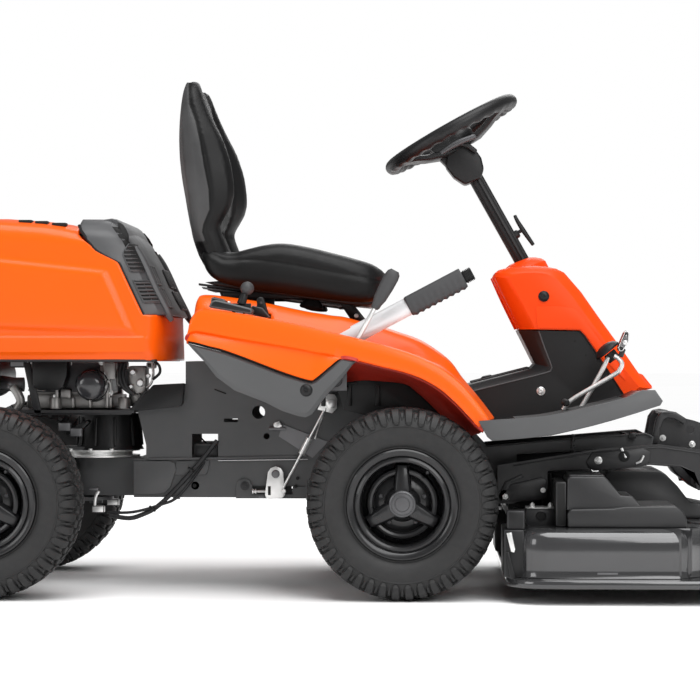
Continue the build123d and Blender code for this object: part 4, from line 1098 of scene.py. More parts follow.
def seat_frame():
    """Rails, hinge links and pins, the seat pan and the oval stops under the seat."""
    rails = Piece("seat_rail_set", "seat_base", "steel_black")
    for sign in SIDES:
        y = sign * 104
        rails.prism([(-456, 676), (-456, 671), (-134, 627), (-128, 629), (-128, 634)], y - 10, y + 10,
                    edge=1)
        rails.prism([(-450, 668), (-446, 663), (-140, 621), (-134, 626)], y - 8, y + 8, "y", "bracket", 0.8)
        rails.prism([(-146, 640), (-120, 636), (-88, 596), (-96, 590), (-116, 592), (-136, 622)],
                    y - 9, y + 9, "y", "black", 2.5)
        rails.tube([(-105, sign * 96, 603), (-105, sign * 132, 603)], 5, finish="zinc", steps=1)
        rails.tube([(-172, sign * 100, 634), (-128, sign * 100, 628)], 5, finish="zinc", steps=1)
        rails.prism([(-412, 662), (-404, 640), (-398, 640), (-402, 662)], y - 4, y + 4, edge=1)
    for x in (-438, -150):
        rails.block(x, x + 18, -96, 96, 660 - (x + 438) * 0.137, 665 - (x + 438) * 0.137)
    rails.done("seat_rails", slot="rail_steel")
    base = Piece("seat_base_pan", "seat", "black")
    outline = [(-437, 676), (-404, 668), (-330, 656), (-240, 644), (-130, 629), (-80, 624), (-66, 628),
               (-62, 640), (-110, 640), (-240, 655), (-330, 667), (-404, 679)]
    base.prism(outline, -182, 182, edge=3)
    shell = [(-424, 688), (-446, 735), (-462, 777), (-478, 855), (-488, 906), (-494, 967), (-494, 1009),
             (-490, 1085)]
    rows = []
    for y in (-160, -140, -70, 0, 70, 140, 160):
        edge = 6 if abs(y) == 160 else 0
        rows.append([(x + edge + 2, y, z) for x, z in smooth_line(shell, 3)])
    base.grid(rows)
    for y in (-128, 128):
        base.block(-400, -180, y - 12, y + 12, 640, 656, edge=3)
    base.done("seat_pan", slot="pan_black", sharp=40)
    stop = Piece("seat_stops", "seat", "hose")
    for y in (-120, 120):
        stop.lathe([(14, 22), (24, 10), (27, 4), (24, 0), (10, -2)], (-205, y, 619), (0.13, 0, 1), 32)
    stop.done()


cushion("seat_cushion_cover", "seat_cushion", cushion_rows(), False)
cushion("seat_back_cover", "seat_back", back_rows(), True)
seat_frame()


# ---------------------------------------------------------------- steering column and cowl
def side_loft(piece, outer, inner, steps):
    """Closed body from a side-face outline out to a fuller middle outline, on both sides."""
    both = [(-y, share) for y, share in steps] + steps[::-1]
    rows = [[(x, y, z) for x, z in [mix(a, b, share) for a, b in zip(outer, inner)]] for y, share in both]
    return piece.grid(rows, wrap=True, caps=True)


COWL_FULL = [(200, 690), (203, 699), (212, 706), (237, 712), (262, 714), (292, 715), (316, 713), (339, 709),
             (357, 700), (395, 656), (434, 600), (465, 557), (496, 514), (525, 472), (553, 442), (491, 424),
             (434, 512), (401, 560), (390, 571), (257, 573), (228, 632)]
COWL_FACE = [(236, 686), (238, 692), (244, 696), (256, 697), (272, 698), (290, 698), (306, 697), (322, 693),
             (339, 682), (366, 653), (402, 604), (430, 566), (458, 528), (488, 486), (522, 445), (491, 424),
             (434, 512), (401, 560), (390, 571), (294, 573), (265, 629)]
CREASE_PANEL = [(292, 625), (342, 624), (372, 620), (384, 613), (402, 592), (431, 558), (449, 533),
                (484, 478), (490, 460), (436, 513), (402, 562), (391, 574), (296, 576)]


def cowl():
    # The cowl takes the deeper, less glossy orange: painted shade.
    piece = Piece("cowl_panel", "chassis", "orange_deep_shade")
    side_loft(piece, COWL_FACE, COWL_FULL, [(115, 0), (114.4, 0.06), (112, 0.2), (107, 0.42), (99, 0.7),
                                            (91, 0.9), (84, 0.98), (70, 1)])
    for sign in SIDES:
        rows = [[(x, sign * 114.5, z) for x, z in CREASE_PANEL],
                [(x, sign * 116.2, z) for x, z in CREASE_PANEL]]
        centre = (395, 560)
        rows.append([(x + (centre[0] - x) * 0.03, sign * 116.6, z + (centre[1] - z) * 0.03)
                     for x, z in CREASE_PANEL])
        piece.grid(rows, wrap=True, caps=True)
        piece.tube([(200, sign * 66, 692), (226, sign * 68, 634), (255, sign * 70, 575)], 4, 8, 3)
    piece.lathe([(56, -22), (54, -6), (48, 2), (36, 9), (25, 13), (19, 13.5)], (266, 0, 716),
                (-0.35, 0, 0.94), 40)
    piece.prism([(520, 476), (532, 474), (556, 444), (548, 440), (520, 444)], -60, 60, edge=4)
    piece.done("cowl", slot="orange_cowl", sharp=24)


TUNNEL_FULL = [(254, 572), (389, 569), (399, 560), (432, 512), (489, 425), (489, 400), (440, 376),
               (360, 352), (130, 352), (130, 448), (284, 487), (292, 496)]
TUNNEL_FACE = [(300, 570), (387, 569), (397, 560), (431, 511), (487, 425), (487, 400), (440, 376),
               (360, 352), (130, 352), (130, 431), (315, 477), (327, 489)]


def tunnel():
    piece = Piece("tunnel_cover", "chassis", "black")
    side_loft(piece, TUNNEL_FACE, TUNNEL_FULL, [(108, 0), (107, 0.08), (100, 0.35), (90, 0.8), (82, 1),
                                                (60, 1)])
    for sign in SIDES:
        # Grey edge tubes on the black tunnel: raised trim, with the lighter grey painting the edge highlight.
        highlight_bead = [(299, 570), (312, 532), (327, 492), (326, 484), (316, 477), (230, 455), (130, 430)]
        piece.tube([(x, sign * 107.6, z) for x, z in smooth_line(highlight_bead, 3)], 1.7, 8, 1, "vent")
        front = [(389, 571), (399, 561), (432, 513), (489, 426)]
        piece.tube([(x, sign * 107.6, z) for x, z in front], 1.4, 8, 2, "vent")
        # Near-black discs in the tunnel side's openings: painted shade.
        for x, z, radius in ((379, 547, 2.5), (403, 516, 2.5), (461, 445, 6)):
            piece.lathe([(radius, -1), (radius, 0.4), (radius * 0.7, 0.5)], (x, sign * 108, z),
                        (0, sign, 0), 20, "shade_hole")
    for k in range(9):
        y = -64 + 16 * k
        piece.tube([(150, y, 454.5), (280, y, 487.5)], 2.6, 6, 1, "hose")
    piece.prism([(172, 462), (178, 468), (196, 472), (200, 466)], -40, 40, edge=1.5)
    piece.done("tunnel_panels", slot="tunnel_black", sharp=28)


FOOT_TOP = [(160, 377), (194, 380), (240, 383), (297, 388), (340, 396), (385, 407), (430, 417), (470, 428),
            (502, 443), (529, 443)]
FOOT_LOW = [(545, 420), (540, 411), (495, 396), (443, 380), (400, 368), (355, 357), (311, 347), (250, 341),
            (188, 336), (178, 344)]


def foot_boards():
    piece = Piece("foot_boards", "chassis", "grey")
    for sign in SIDES:
        outline = FOOT_TOP + FOOT_LOW
        inner = [(x + (350 - x) * 0.012, z + (395 - z) * 0.06) for x, z in outline]
        rows = [[(x, sign * y, z) for x, z in line]
                for y, line in ((401, outline), (404.5, outline), (406, inner))]
        piece.grid(rows, wrap=True, caps=True)
        sheet = [(x, z - 5) for x, z in FOOT_TOP[1:]] + [(x, z - 9) for x, z in reversed(FOOT_TOP[1:])]
        piece.prism(sheet, sign * 402, sign * 123, "y", "black", 0.8)
        for y in range(140, 381, 24):
            piece.tube([(x, sign * y, z - 4.6) for x, z in FOOT_TOP[2:8]], 2.4, 6, 2, "black")
        piece.tube([(352, sign * 166, 413), (352, sign * 262, 413)], 6, finish="black", steps=1)
    piece.done("foot_plates", slot="foot_grey", sharp=30)


WHEEL_CENTRE = Vector((108, 0, 1012))
COLUMN_TILT = math.radians(60.8)
COLUMN_WAY = Vector((-math.cos(COLUMN_TILT), 0, math.sin(COLUMN_TILT)))
COLUMN_ACROSS = Vector((math.sin(COLUMN_TILT), 0, math.cos(COLUMN_TILT)))
SIDEWAYS = Vector(LEFT)


def column_spot(distance, across=0.0, side=0.0):
    """Point measured up the column from the wheel's centre, then across and sideways."""
    return tuple(WHEEL_CENTRE + COLUMN_WAY * distance + COLUMN_ACROSS * across + SIDEWAYS * side)


RING_R, RING_TUBE = 152.0, 14.0


def steering_wheel():
    piece = Piece("wheel_rim_and_hub", "steering_wheel", "black")
    rows = []
    for k in range(180):
        turn = 2 * math.pi * k / 180
        row = []
        for j in range(18):
            a = 2 * math.pi * j / 18
            under = max(0.0, -math.sin(a)) * (1.0 if math.cos(a) < 0.5 else 0.3)
            size = RING_TUBE + 2.0 - 3.0 * under * (0.5 + 0.5 * math.cos(30 * turn))
            distance = RING_R + size * math.cos(a)
            row.append(column_spot(3 + size * math.sin(a), distance * math.cos(turn), distance * math.sin(turn)))
        rows.append(row)
    piece.grid(rows + rows[:1], wrap=True)
    for sign in SIDES:
        piece.prism([(56, 980), (66, 972), (90, 962), (101, 968), (112, 1004), (101, 1010)],
                    sign * 30, sign * 44, edge=2)
    piece.prism([(96, 976), (93, 940), (112, 916), (137, 899), (173, 913), (180, 935), (174, 960),
                 (163, 976), (145, 993), (104, 1004)], -32, 32, edge=6, segments=3)
    piece.prism([(58, 978), (92, 944), (112, 920), (140, 960), (120, 1000), (101, 1008)], -24, 24, edge=5)
    piece.prism([(104, 1000), (146, 992), (166, 976), (160, 968), (140, 982), (104, 990)], -46, 46, edge=4)
    piece.tube([column_spot(-20), column_spot(-70), column_spot(-108)], 17.4, 28, 2)
    piece.lathe([(40, -26), (46, -18), (46, -6), (40, 2), (24, 6)], WHEEL_CENTRE, COLUMN_WAY, 40)
    for turn in (90, 210, 330):
        angle = math.radians(turn)
        rows = []
        for distance, height, half in ((26, -30, 26), (50, -30, 24), (90, -20, 18), (125, -7, 16),
                                    (148, -2, 15)):
            ring = []
            for s, h in ((-1, -5), (-0.8, -8), (0.8, -8), (1, -5), (1, 3), (0.75, 6), (-0.75, 6), (-1, 3)):
                c, d = distance * math.cos(angle), distance * math.sin(angle)
                ring.append(column_spot(height + h, c - half * s * math.sin(angle),
                                        d + half * s * math.cos(angle)))
            rows.append(ring)
        piece.grid(rows, wrap=True, caps=True)
    strip = [column_spot(-26, -44, -46), column_spot(-24, 0, -48), column_spot(-30, 44, -46)]
    piece.tube(strip, [5, 7, 6], 10, 4, "cap")
    piece.done("steering_wheel", slot="wheel_grip", sharp=38)


def column():
    sleeve = Piece("column_cover", "column", "black")
    rows = []
    for distance in (-372, -368, -240, -120, -96):
        row = []
        for a in turns(48):
            gap = min(abs((math.degrees(a) - spot + 180) % 360 - 180) for spot in (225, 270, 315))
            size = 17.0 - (1.8 if gap < 5 else 0.0) - (1.0 if distance == -372 else 0.0)
            row.append(column_spot(distance, size * math.cos(a), size * math.sin(a)))
        rows.append(row)
    sleeve.grid(rows, wrap=True, caps=True)
    boss = Vector(column_spot(-266))
    sleeve.lathe([(10, 8), (9.5, 22), (7, 25)], boss, COLUMN_ACROSS, 24)
    sleeve.done("column_sleeve", slot="column_cover", sharp=30)
    knob = Piece("clamp_knob", "column_knob", "black")
    knob.tube([column_spot(-264, 15), column_spot(-264, 33)], [3.4, 4.4], 12, 2)
    knob.tube([column_spot(-226, 36), column_spot(-240, 35), column_spot(-264, 36), column_spot(-286, 38),
               column_spot(-306, 40)], [3.8, 4.6, 5.6, 5.0, 4.2], 12, 4)
    knob.done("column_knob", slot="knob_black")
    dress("column_tube", "steel_black")


# ---------------------------------------------------------------- levers and pedals
LEVER_PIVOT, LEVER_ANGLE = (-207, 503), 27.8
HEIGHT_PIVOT, HEIGHT_ANGLE = (-142, 463), 61.4


def reach(pivot, angle, distance, lift=0.0):
    """Side-view point so far along a lever from its pivot, and so far above its axis."""
    turn = math.radians(angle)
    return (pivot[0] + distance * math.cos(turn) - lift * math.sin(turn),
            pivot[1] + distance * math.sin(turn) + lift * math.cos(turn))


def bar_ring(distance, low, high, half, corner=0.45):
    """Rounded rectangle round the lift lever's axis: below, above and half width."""
    ring = []
    for s, t in ((-1, -corner), (-1, corner), (-corner, 1), (corner, 1), (1, corner), (1, -corner),
                 (corner, -1), (-corner, -1)):
        rise = high * t if t > 0 else low * -t
        x, z = reach(LEVER_PIVOT, LEVER_ANGLE, distance, rise)
        ring.append((x, LEVER_Y + half * s, z))
    return ring


def lift_lever():
    tube = Piece("lift_lever_tube", "lift_lever", "tube")
    tube.grid([bar_ring(d, -h, h, w) for d, h, w in ((4, 15, 12), (8, 17, 14), (120, 18, 15),
                                                     (262, 18, 15))], wrap=True, caps=True)
    tube.grid([bar_ring(d, 8, 21, 5) for d in (118, 140, 256)], "tube", wrap=True, caps=True)
    tube.lathe([(24, -16), (25, -14), (25, 14), (24, 16)], (-207, LEVER_Y, 503), LEFT, 40, "steel_black")
    tube.lathe([(9, -19), (9, 19)], (-207, LEVER_Y, 503), LEFT, 24, "zinc")
    tube.done("lift_lever", slot="lever_steel", sharp=50)
    grip = Piece("lift_lever_grip", "lift_lever", "grip")
    rings = [(247, 18, 20, 17), (249, 20.5, 22, 19)]
    for k in range(73):
        d = 251 + 128 * k / 72
        wave = 2.6 * (0.5 - 0.5 * math.cos(2 * math.pi * 9 * k / 72))
        rings.append((d, 21 + wave, 22.5, 19.5))
    rings.append((380.5, 20, 21, 18))
    grip.grid([bar_ring(d, -low, high, half, 0.62) for d, low, high, half in rings], wrap=True, caps=True)
    grip.done("lift_grip", slot="grip_rubber", sharp=60)
    button = Piece("lift_lever_button", "lift_button", "black")
    rings = [(379, 10, 12, 11)]
    for k in range(5):
        start = 385 + 3.4 * k
        rings += [(start, 14.5, 14.5, 13), (start + 1.8, 14.5, 14.5, 13), (start + 2, 12.4, 12.4, 11.5),
                  (start + 3.2, 12.4, 12.4, 11.5)]
    rings.append((402, 14, 14, 12.5))
    button.grid([bar_ring(d, -low, high, half, 0.6) for d, low, high, half in rings], wrap=True, caps=True)
    button.done("lift_button", slot="button_black", sharp=40)


def small_levers():
    height = Piece("height_lever_rod", "height_lever", "zinc")
    rod = [reach(HEIGHT_PIVOT, HEIGHT_ANGLE, distance) for distance in (0, 90, 186)]
    height.tube([(x, HEIGHT_Y, z) for x, z in rod], [4.6, 4.8, 4.8], 14, 2)
    handle = [(172, 7), (177, 9.5), (186, 10.5), (197, 13.6), (225, 15.6), (248, 15.8), (258, 14), (264, 9)]
    rows = []
    for d, r in handle:
        ring = []
        for a in turns(20):
            x, z = reach(HEIGHT_PIVOT, HEIGHT_ANGLE, d, r * math.cos(a))
            ring.append((x, HEIGHT_Y + 0.72 * r * math.sin(a), z))
        rows.append(ring)
    height.grid(rows, "grip", wrap=True, caps=True)
    height.lathe([(14, -8), (15, -6), (15, 6), (14, 8)], (-142, HEIGHT_Y, 463), LEFT, 28, "steel_black")
    height.done("height_lever", slot="height_black", sharp=50)
    throttle = Piece("throttle_stem", "throttle_lever", "zinc")
    throttle.prism([(-351, 596), (-347, 628), (-333, 632), (-335, 596)], THROTTLE_Y - 3, THROTTLE_Y + 3,
                   edge=1)
    throttle.tube([(-343, THROTTLE_Y, 624), (-339, THROTTLE_Y, 636), (-335, THROTTLE_Y, 648)],
                  [10, 9, 6.5], 16, 3, "black")
    ball = [(0.4 + 14.2 * math.sin(math.pi * k / 14), -14.2 * math.cos(math.pi * k / 14))
            for k in range(15)]
    throttle.lathe(ball, (-330, THROTTLE_Y, 658), (0.3, 0, 1), 32, "grip")
    throttle.lathe([(14.9, -0.8), (15.0, 0), (14.9, 0.8)], (-330, THROTTLE_Y, 658), (0.3, 0, 1), 32, "grip")
    throttle.done("throttle_lever", slot="throttle_steel", sharp=50)
    choke = Piece("choke_handle", "choke_lever", "black")
    choke.prism([(-317, 600), (-313, 625), (-314, 636), (-308, 641), (-299, 640), (-294, 625), (-286, 598)],
                CHOKE_Y - 8, CHOKE_Y + 8, edge=3, segments=3)
    choke.lathe([(3, 7), (3, 9), (1.5, 9.3)], (-304, CHOKE_Y, 628), RIGHT, 16, "grip")
    choke.done("choke_lever", slot="choke_black")


def pedal_arm(body, y, bar):
    """Bent round bar of a pedal, with its boss on the shared shaft."""
    piece = Piece(body + "_arm", body, "zinc")
    piece.tube([(x, y, z) for x, z in bar], 5, 14, 6)
    piece.lathe([(7, -11), (8, -10), (8, 10), (7, 11)], (352, y, 413), LEFT, 24, "steel_black")
    return piece


def forward_pedal():
    piece = pedal_arm("forward_pedal", -234, [(346, 397), (352, 406), (372, 424), (454, 472), (468, 484),
                                              (473, 498), (464, 510), (456, 514)])
    piece.prism([(463, 532), (477, 566), (484, 570), (487, 563), (486, 544), (473, 524), (466, 524)],
                -256, -212, "y", "black", 2)
    piece.prism([(468, 536), (478, 558), (482, 560), (483, 546), (474, 532)], -257.5, -256, "y",
                "bracket", 0.5)
    piece.lathe([(5, -2), (5, 1.5), (3, 2)], (478, -257, 543), RIGHT, 16, "zinc")
    piece.tube([(470, -234, 512), (476, -234, 530)], 6, finish="steel_black", steps=2)
    piece.done("forward_pedal", slot="pedal_steel")


def reverse_pedal():
    piece = pedal_arm("reverse_pedal", -200, [(384, 397), (400, 424), (432, 482), (446, 512)])
    way = (-0.62, 0, 0.78)
    piece.lathe([(30, 4), (30, 8), (24, 16), (13, 21), (4, 22.5)], (449, -191, 520), way, 36, "black")
    piece.lathe([(13, -14), (14, -12), (14, 5)], (452, -191, 517), way, 28, "hose")
    piece.done("reverse_pedal", slot="reverse_steel")


def brake_pedal():
    piece = pedal_arm("brake_pedal", 220, [(352, 413), (368, 426), (448, 472), (460, 488), (463, 515)])
    piece.prism([(451, 512), (470, 506), (480, 556), (477, 562), (462, 565)], 188, 252, "y", "black", 3)
    for k in range(4):
        x, z = 473 + 2.2 * k, 520 + 11 * k
        piece.block(x, x + 3.5, 194, 246, z, z + 4, "hose", 1)
    piece.done("brake_pedal", slot="brake_steel")


cowl()
tunnel()
foot_boards()
steering_wheel()
column()
lift_lever()
small_levers()
forward_pedal()
reverse_pedal()
brake_pedal()


# ---------------------------------------------------------------- deck
DECK_PLAN = [(216, -250), (216, -400), (224, -440), (244, -472), (280, -492), (330, -499), (400, -500),
             (620, -500), (660, -484), (690, -460), (775, -350), (850, -190), (868, 0)]
WALL_PLAN = [(236, -230), (236, -360), (240, -410), (254, -444), (284, -464), (340, -470), (548, -470),
             (580, -462), (600, -440), (606, -410), (612, -392), (640, -384), (690, -360), (760, -270),
             (820, -160), (842, 0)]
RIM = [(34, 2), (36, 0), (48, 1), (51, 3)]
SHELL_WALL = [(54, -1), (58, 1), (70, 1.5), (100, 1), (122, 1), (134, 3), (142, 7), (148, 13), (152, 21),
              (154.4, 31), (155, 42)]


def evenly(points, gap):
    """The same closed line with its points one gap apart."""
    result = []
    for a, b in zip(points, points[1:] + points[:1]):
        steps = max(1, round(math.dist(a, b) / gap))
        result += [mix(a, b, k / steps) for k in range(steps)]
    return result


def inset(outline, distance):
    """Closed counter-clockwise outline moved inwards."""
    result = []
    count = len(outline)
    for i, spot in enumerate(outline):
        before, after = outline[i - 1], outline[(i + 1) % count]
        way = Vector((after[0] - before[0], after[1] - before[1])).normalized()
        result.append((spot[0] - way.y * distance, spot[1] + way.x * distance))
    return result


def closed_plan(half_line, gap):
    """Closed plan outline from a smoothed half line and its mirror image, with even spacing."""
    half = smooth_line(half_line, 6)
    return evenly(half + [(x, -y) for x, y in reversed(half[:-1])], gap)


DECK_MIDDLE = (500, 0)


def deck():
    piece = Piece("deck_enamelled_shell", "deck", "deck")
    edge, body = closed_plan(DECK_PLAN, 8), closed_plan(WALL_PLAN, 8)
    edge = [edge[round(k * len(edge) / len(body)) % len(edge)] for k in range(len(body))]
    near = [min(body, key=lambda spot: math.dist(spot, rim)) for rim in edge]
    rows = [[(x, y, z) for x, y in inset(edge, depth)] for z, depth in RIM]
    rows.append([(x, y, 53) for x, y in near])
    rows += [[(x, y, z) for x, y in inset(near, depth)] for z, depth in SHELL_WALL]
    brow = rows[-1]
    rows += [[(*mix(spot[:2], DECK_MIDDLE, share), spot[2]) for spot in brow]
             for share in (0.3, 0.65, 0.998)]
    piece.grid(rows, wrap=True)
    wall(piece.done("deck_shell", slot="deck_grey", sharp=50), 2.5)
    top = Piece("deck_fittings", "deck", "steel_black")
    for sign in SIDES:
        for x0, x1, y0, y1, z1 in ((262, 322, 270, 330, 190), (240, 300, 145, 175, 180)):
            top.block(x0, x1, sign * y0, sign * y1, 154, z1, edge=2)
        y = sign * 330
        top.block(262, 322, sign * 268, sign * 333, 190, 192, "zinc", 0.5)
        for x in (276, 314):
            top.bolt((x, sign * 318, 192), UP, 5, 8)
        # Near-black disc in the bracket's opening: painted shade.
        top.lathe([(9, -2), (9, 0.8), (7, 1)], (294, y, 174), (0, sign, 0), 24, "shade_hole")
        top.lathe([(12, -1), (12, 0.5), (10, 1.2), (9, 0)], (294, y, 174), (0, sign, 0), 24)
        top.prism([(216, 146), (228, 148), (236, 112), (234, 104), (226, 106)],
                  sign * 420, sign * 440, "y", "zinc", 1)
        top.prism([(216, 106), (222, 106), (236, 50), (230, 48), (224, 52)],
                  sign * 400, sign * 446, "y", "black", 1)
        top.block(218, 256, sign * 396, sign * 430, 152, 192, "black", 4)
        top.prism([(212, 152), (254, 152), (254, 54), (226, 50), (212, 54)], sign * 240, sign * 438,
                  "y", "black", 3)
        # Near-black block in front of the belt covers: painted shade.
        top.block(322, 344, sign * 212, sign * 396, 156, 250, "shade_hole", 3)
    top.tube([(232, -330, 164), (232, 330, 164)], 5, finish="zinc", steps=1)
    top.done()


COVER_UPPER = [(344, 190), (346, 256), (352, 262), (424, 262), (430, 256), (458, 222), (482, 221),
               (502, 198), (520, 190)]
COVER_BAND = [(346, 155), (345, 184), (352, 194), (440, 196), (466, 200), (540, 201), (572, 201),
              (586, 190), (594, 174), (594, 155)]
CENTRE_COVER = [(428, 155), (438, 230), (448, 255), (458, 261.5), (566, 261.5), (580, 252), (606, 226),
                (632, 192), (690, 180), (716, 168), (722, 155)]


def drafted(piece, outline, low, high, taper, edge):
    """Moulded cover: an outline carried sideways, with sides that lean in towards the top."""
    low, high = sorted((low, high))
    base = min(z for _, z in outline)
    middle = (low + high) / 2
    rows = []
    for y in (low, low + 4, middle, high - 4, high):
        rows.append([(x, middle + (y - middle) * (1 - taper * (z - base) / 100), z) for x, z in outline])
    made = piece.grid(rows, wrap=True, caps=True)
    piece.round_edges(made, edge, 3)


def belt_covers():
    piece = Piece("belt_cover_set", "deck", "cover")
    for sign in SIDES:
        drafted(piece, COVER_UPPER, sign * 232, sign * 402, 0.09, edge=6)
        drafted(piece, COVER_BAND, sign * 214, sign * 420, 0.02, edge=11)
        piece.block(350, 424, sign * 246, sign * 388, 258, 265, edge=3)
    drafted(piece, CENTRE_COVER, -112, 112, 0.05, edge=7)
    piece.block(470, 556, -96, 96, 258, 263, edge=1.5)
    piece.done("belt_covers", slot="belt_cover_black", sharp=45)


def spindles():
    dress("spindle_housings", "casting", 1.2)
    for name in ("blade_left", "blade_center", "blade_right"):
        dress(name, "bracket", 0.6)


# ---------------------------------------------------------------- lifting gear and front frame
def strip(piece, line, width, y0, y1, finish=None, edge=0.8):
    """Flat bar that follows a side-view line."""
    under = [(x, z - width) for x, z in reversed(line)]
    piece.prism(list(line) + under, y0, y1, "y", finish, edge)


def front_frame():
    dress("equipment_frame", "steel_black", 1.2)
    piece = Piece("front_frame_fittings", "equipment_frame", "steel_black")
    for sign in SIDES:
        face = sign * 202
        strip(piece, [(240, 276), (341, 293), (428, 307), (556, 317), (643, 305), (668, 284)], 3, face,
              face + sign * 3)
        strip(piece, [(320, 268), (402, 270), (536, 281), (602, 277), (632, 264), (646, 230)], 3, face,
              face + sign * 3)
        piece.prism([(398, 284), (404, 270), (414, 264), (520, 274), (536, 286), (536, 306), (520, 314),
                     (410, 304)], face, face + sign * 5, edge=1.5)
        piece.prism([(210, 214), (222, 232), (300, 250), (312, 244), (312, 206), (296, 200), (238, 196),
                     (214, 202)], face, face + sign * 4, edge=1.5)
        piece.prism([(206, 208), (214, 196), (236, 240), (262, 250), (258, 256), (222, 240)],
                    face + sign * 4, face + sign * 6, edge=0.8)
        for x, z, radius in ((222, 208, 7), (424, 287, 6), (304, 222, 4)):
            piece.bolt((x, face + sign * 4, z), (0, sign, 0), radius, 5)
        # Near-black disc in the plate's opening: painted shade.
        piece.lathe([(12, 0), (12, 8), (10, 9)], (480, face, 296), (0, sign, 0), 20, "shade_hole")
        piece.tube([(522, face + sign * 7, 298), (516, face + sign * 8, 286),
                    (505, face + sign * 8, 280)], 2.6, 8, 3, "zinc")
        piece.tube([(474, face + sign * 4, 314), (484, face + sign * 7, 292)], 3.4, 8, 2, "zinc")
        piece.prism([(548, 318), (552, 341), (559, 376), (569, 390), (585, 393), (602, 390), (627, 374),
                     (621, 362), (600, 374), (584, 377), (574, 372), (566, 350), (566, 322)],
                    sign * 86, sign * 112, edge=3)
        piece.bolt((575, sign * 86, 332), (0, sign, 0), 5, 4)
        piece.bolt((640, sign * 86, 318), (0, sign, 0), 5, 4)
    piece.block(572, 598, -112, 112, 384, 389, edge=2)
    piece.prism([(584, 285), (616, 277), (652, 257), (676, 236), (700, 222), (700, 212), (650, 217),
                 (606, 252)], -64, 64, edge=4)
    piece.tube([(372, -150, 290), (371, -151, 320), (373, -151, 336)], [3.2, 2.8, 3.6], 10, 3)
    for z in (304, 316, 328, 340):
        piece.lathe([(2, -2.5), (5, -1), (5, 1), (2, 2.5)], (372, -151, z), UP, 14)
    piece.prism([(248, 240), (248, 294), (420, 302), (484, 306), (484, 293), (440, 293), (420, 262),
                 (330, 252)], -62, 62, edge=3)
    piece.block(496, 512, -134, -124, 330, 346, "black", edge=3)
    # Small orange tab in the darkened orange: painted shade.
    piece.prism([(617, 249), (618, 238), (645, 222), (648, 230), (634, 252)], -60, -30, "y",
                "orange_shade", 1.5)
    piece.done()


def lifting_gear():
    dress("link_brackets", "bracket", 0.8)
    crank = Piece("bellcrank_plate", "bellcrank", "zinc")
    crank.prism([(-307, 207), (-304, 200), (-296, 197), (-268, 200), (-262, 207), (-263, 218),
                 (-265, 240), (-266, 256), (-272, 266), (-283, 270), (-294, 266), (-300, 257),
                 (-303, 236)], -136, -132, edge=0.8)
    # Near-black sheet in the crank's slot: painted shade.
    crank.prism([(-300, 206), (-294, 206), (-294, 226), (-300, 226)], -136.6, -136, "y", "shade_hole", 0)
    crank.lathe([(9, -1), (9, 4), (7, 6), (3, 6.5)], (-283, -136, 253), RIGHT, 24, "bracket")
    crank.lathe([(5, -12), (5, 3), (4, 4)], (-265, -136, 215), RIGHT, 18, "zinc")
    crank.done("bellcrank", slot="crank_zinc")
    dress("lift_rod", "zinc", 0.4)
    cables = Piece("frame_cables", "chassis", "hose")
    cables.tube([(-413, -127, 327), (-449, -131, 281), (-511, -132, 213), (-549, -132, 178),
                 (-580, -131, 162), (-610, -129, 154), (-654, -122, 160)], 5.2, 12, 5)
    cables.tube([(-440, -120, 280), (-497, -136, 205), (-540, -137, 184), (-600, -134, 168),
                 (-658, -122, 166)], 3.2, 10, 5)
    cables.done("hoses", slot="hose_rubber")
    piece = Piece("link_fittings", "chassis", "plate")
    piece.prism([(-372, 198), (-372, 226), (-366, 238), (-354, 242), (-342, 238), (-336, 226), (-333, 207),
                 (-246, 207), (-246, 224), (-218, 224), (-213, 240), (-213, 198)], -124, -122, edge=0.4)
    # Near-black sheet in the plate's slot: painted shade.
    piece.prism([(-334, 207), (-334, 225), (-248, 225), (-248, 207)], -122.6, -122, "y", "shade_hole", 0)
    piece.bolt((-352, -124, 226), RIGHT, 7, 4, "steel_black")
    piece.tube([(-334, -128, 214), (-290, -128, 214)], 3, 10, 1, "zinc")
    for x, z in ((-334, 214), (-328, 214)):
        piece.lathe([(6, -1.5), (6, 1.5)], (x, -128, z), AHEAD, 14, "zinc")
    piece.prism([(-178, 426), (-170, 432), (-152, 430), (-146, 420), (-146, 398), (-158, 386), (-192, 395),
                 (-186, 407)], -133, -127, "y", "zinc", 1.2)
    piece.lathe([(11, 0), (11, 5), (8, 7)], (-160, -133, 408), RIGHT, 24, "zinc")
    piece.lathe([(7, 0), (7, 5), (5, 7)], (-150, -127, 438), RIGHT, 24, "steel_black")
    piece.prism([(-288, 366), (-276, 371), (-268, 358), (-280, 352)], -130, -122, "y", "zinc", 1)
    piece.bolt((-281, -128, 361), RIGHT, 5, 4)
    # Near-black discs in the plate's openings: painted shade.
    for x, z in ((-235, 243), (-239, 225)):
        piece.lathe([(4, -0.5), (4, 0.6)], (x, -124, z), RIGHT, 14, "shade_hole")
    piece.tube([(-172, -134, 398), (-186, -135, 362), (-196, -136, 330)], 1.6, 8, 3, "zinc")
    piece.done()


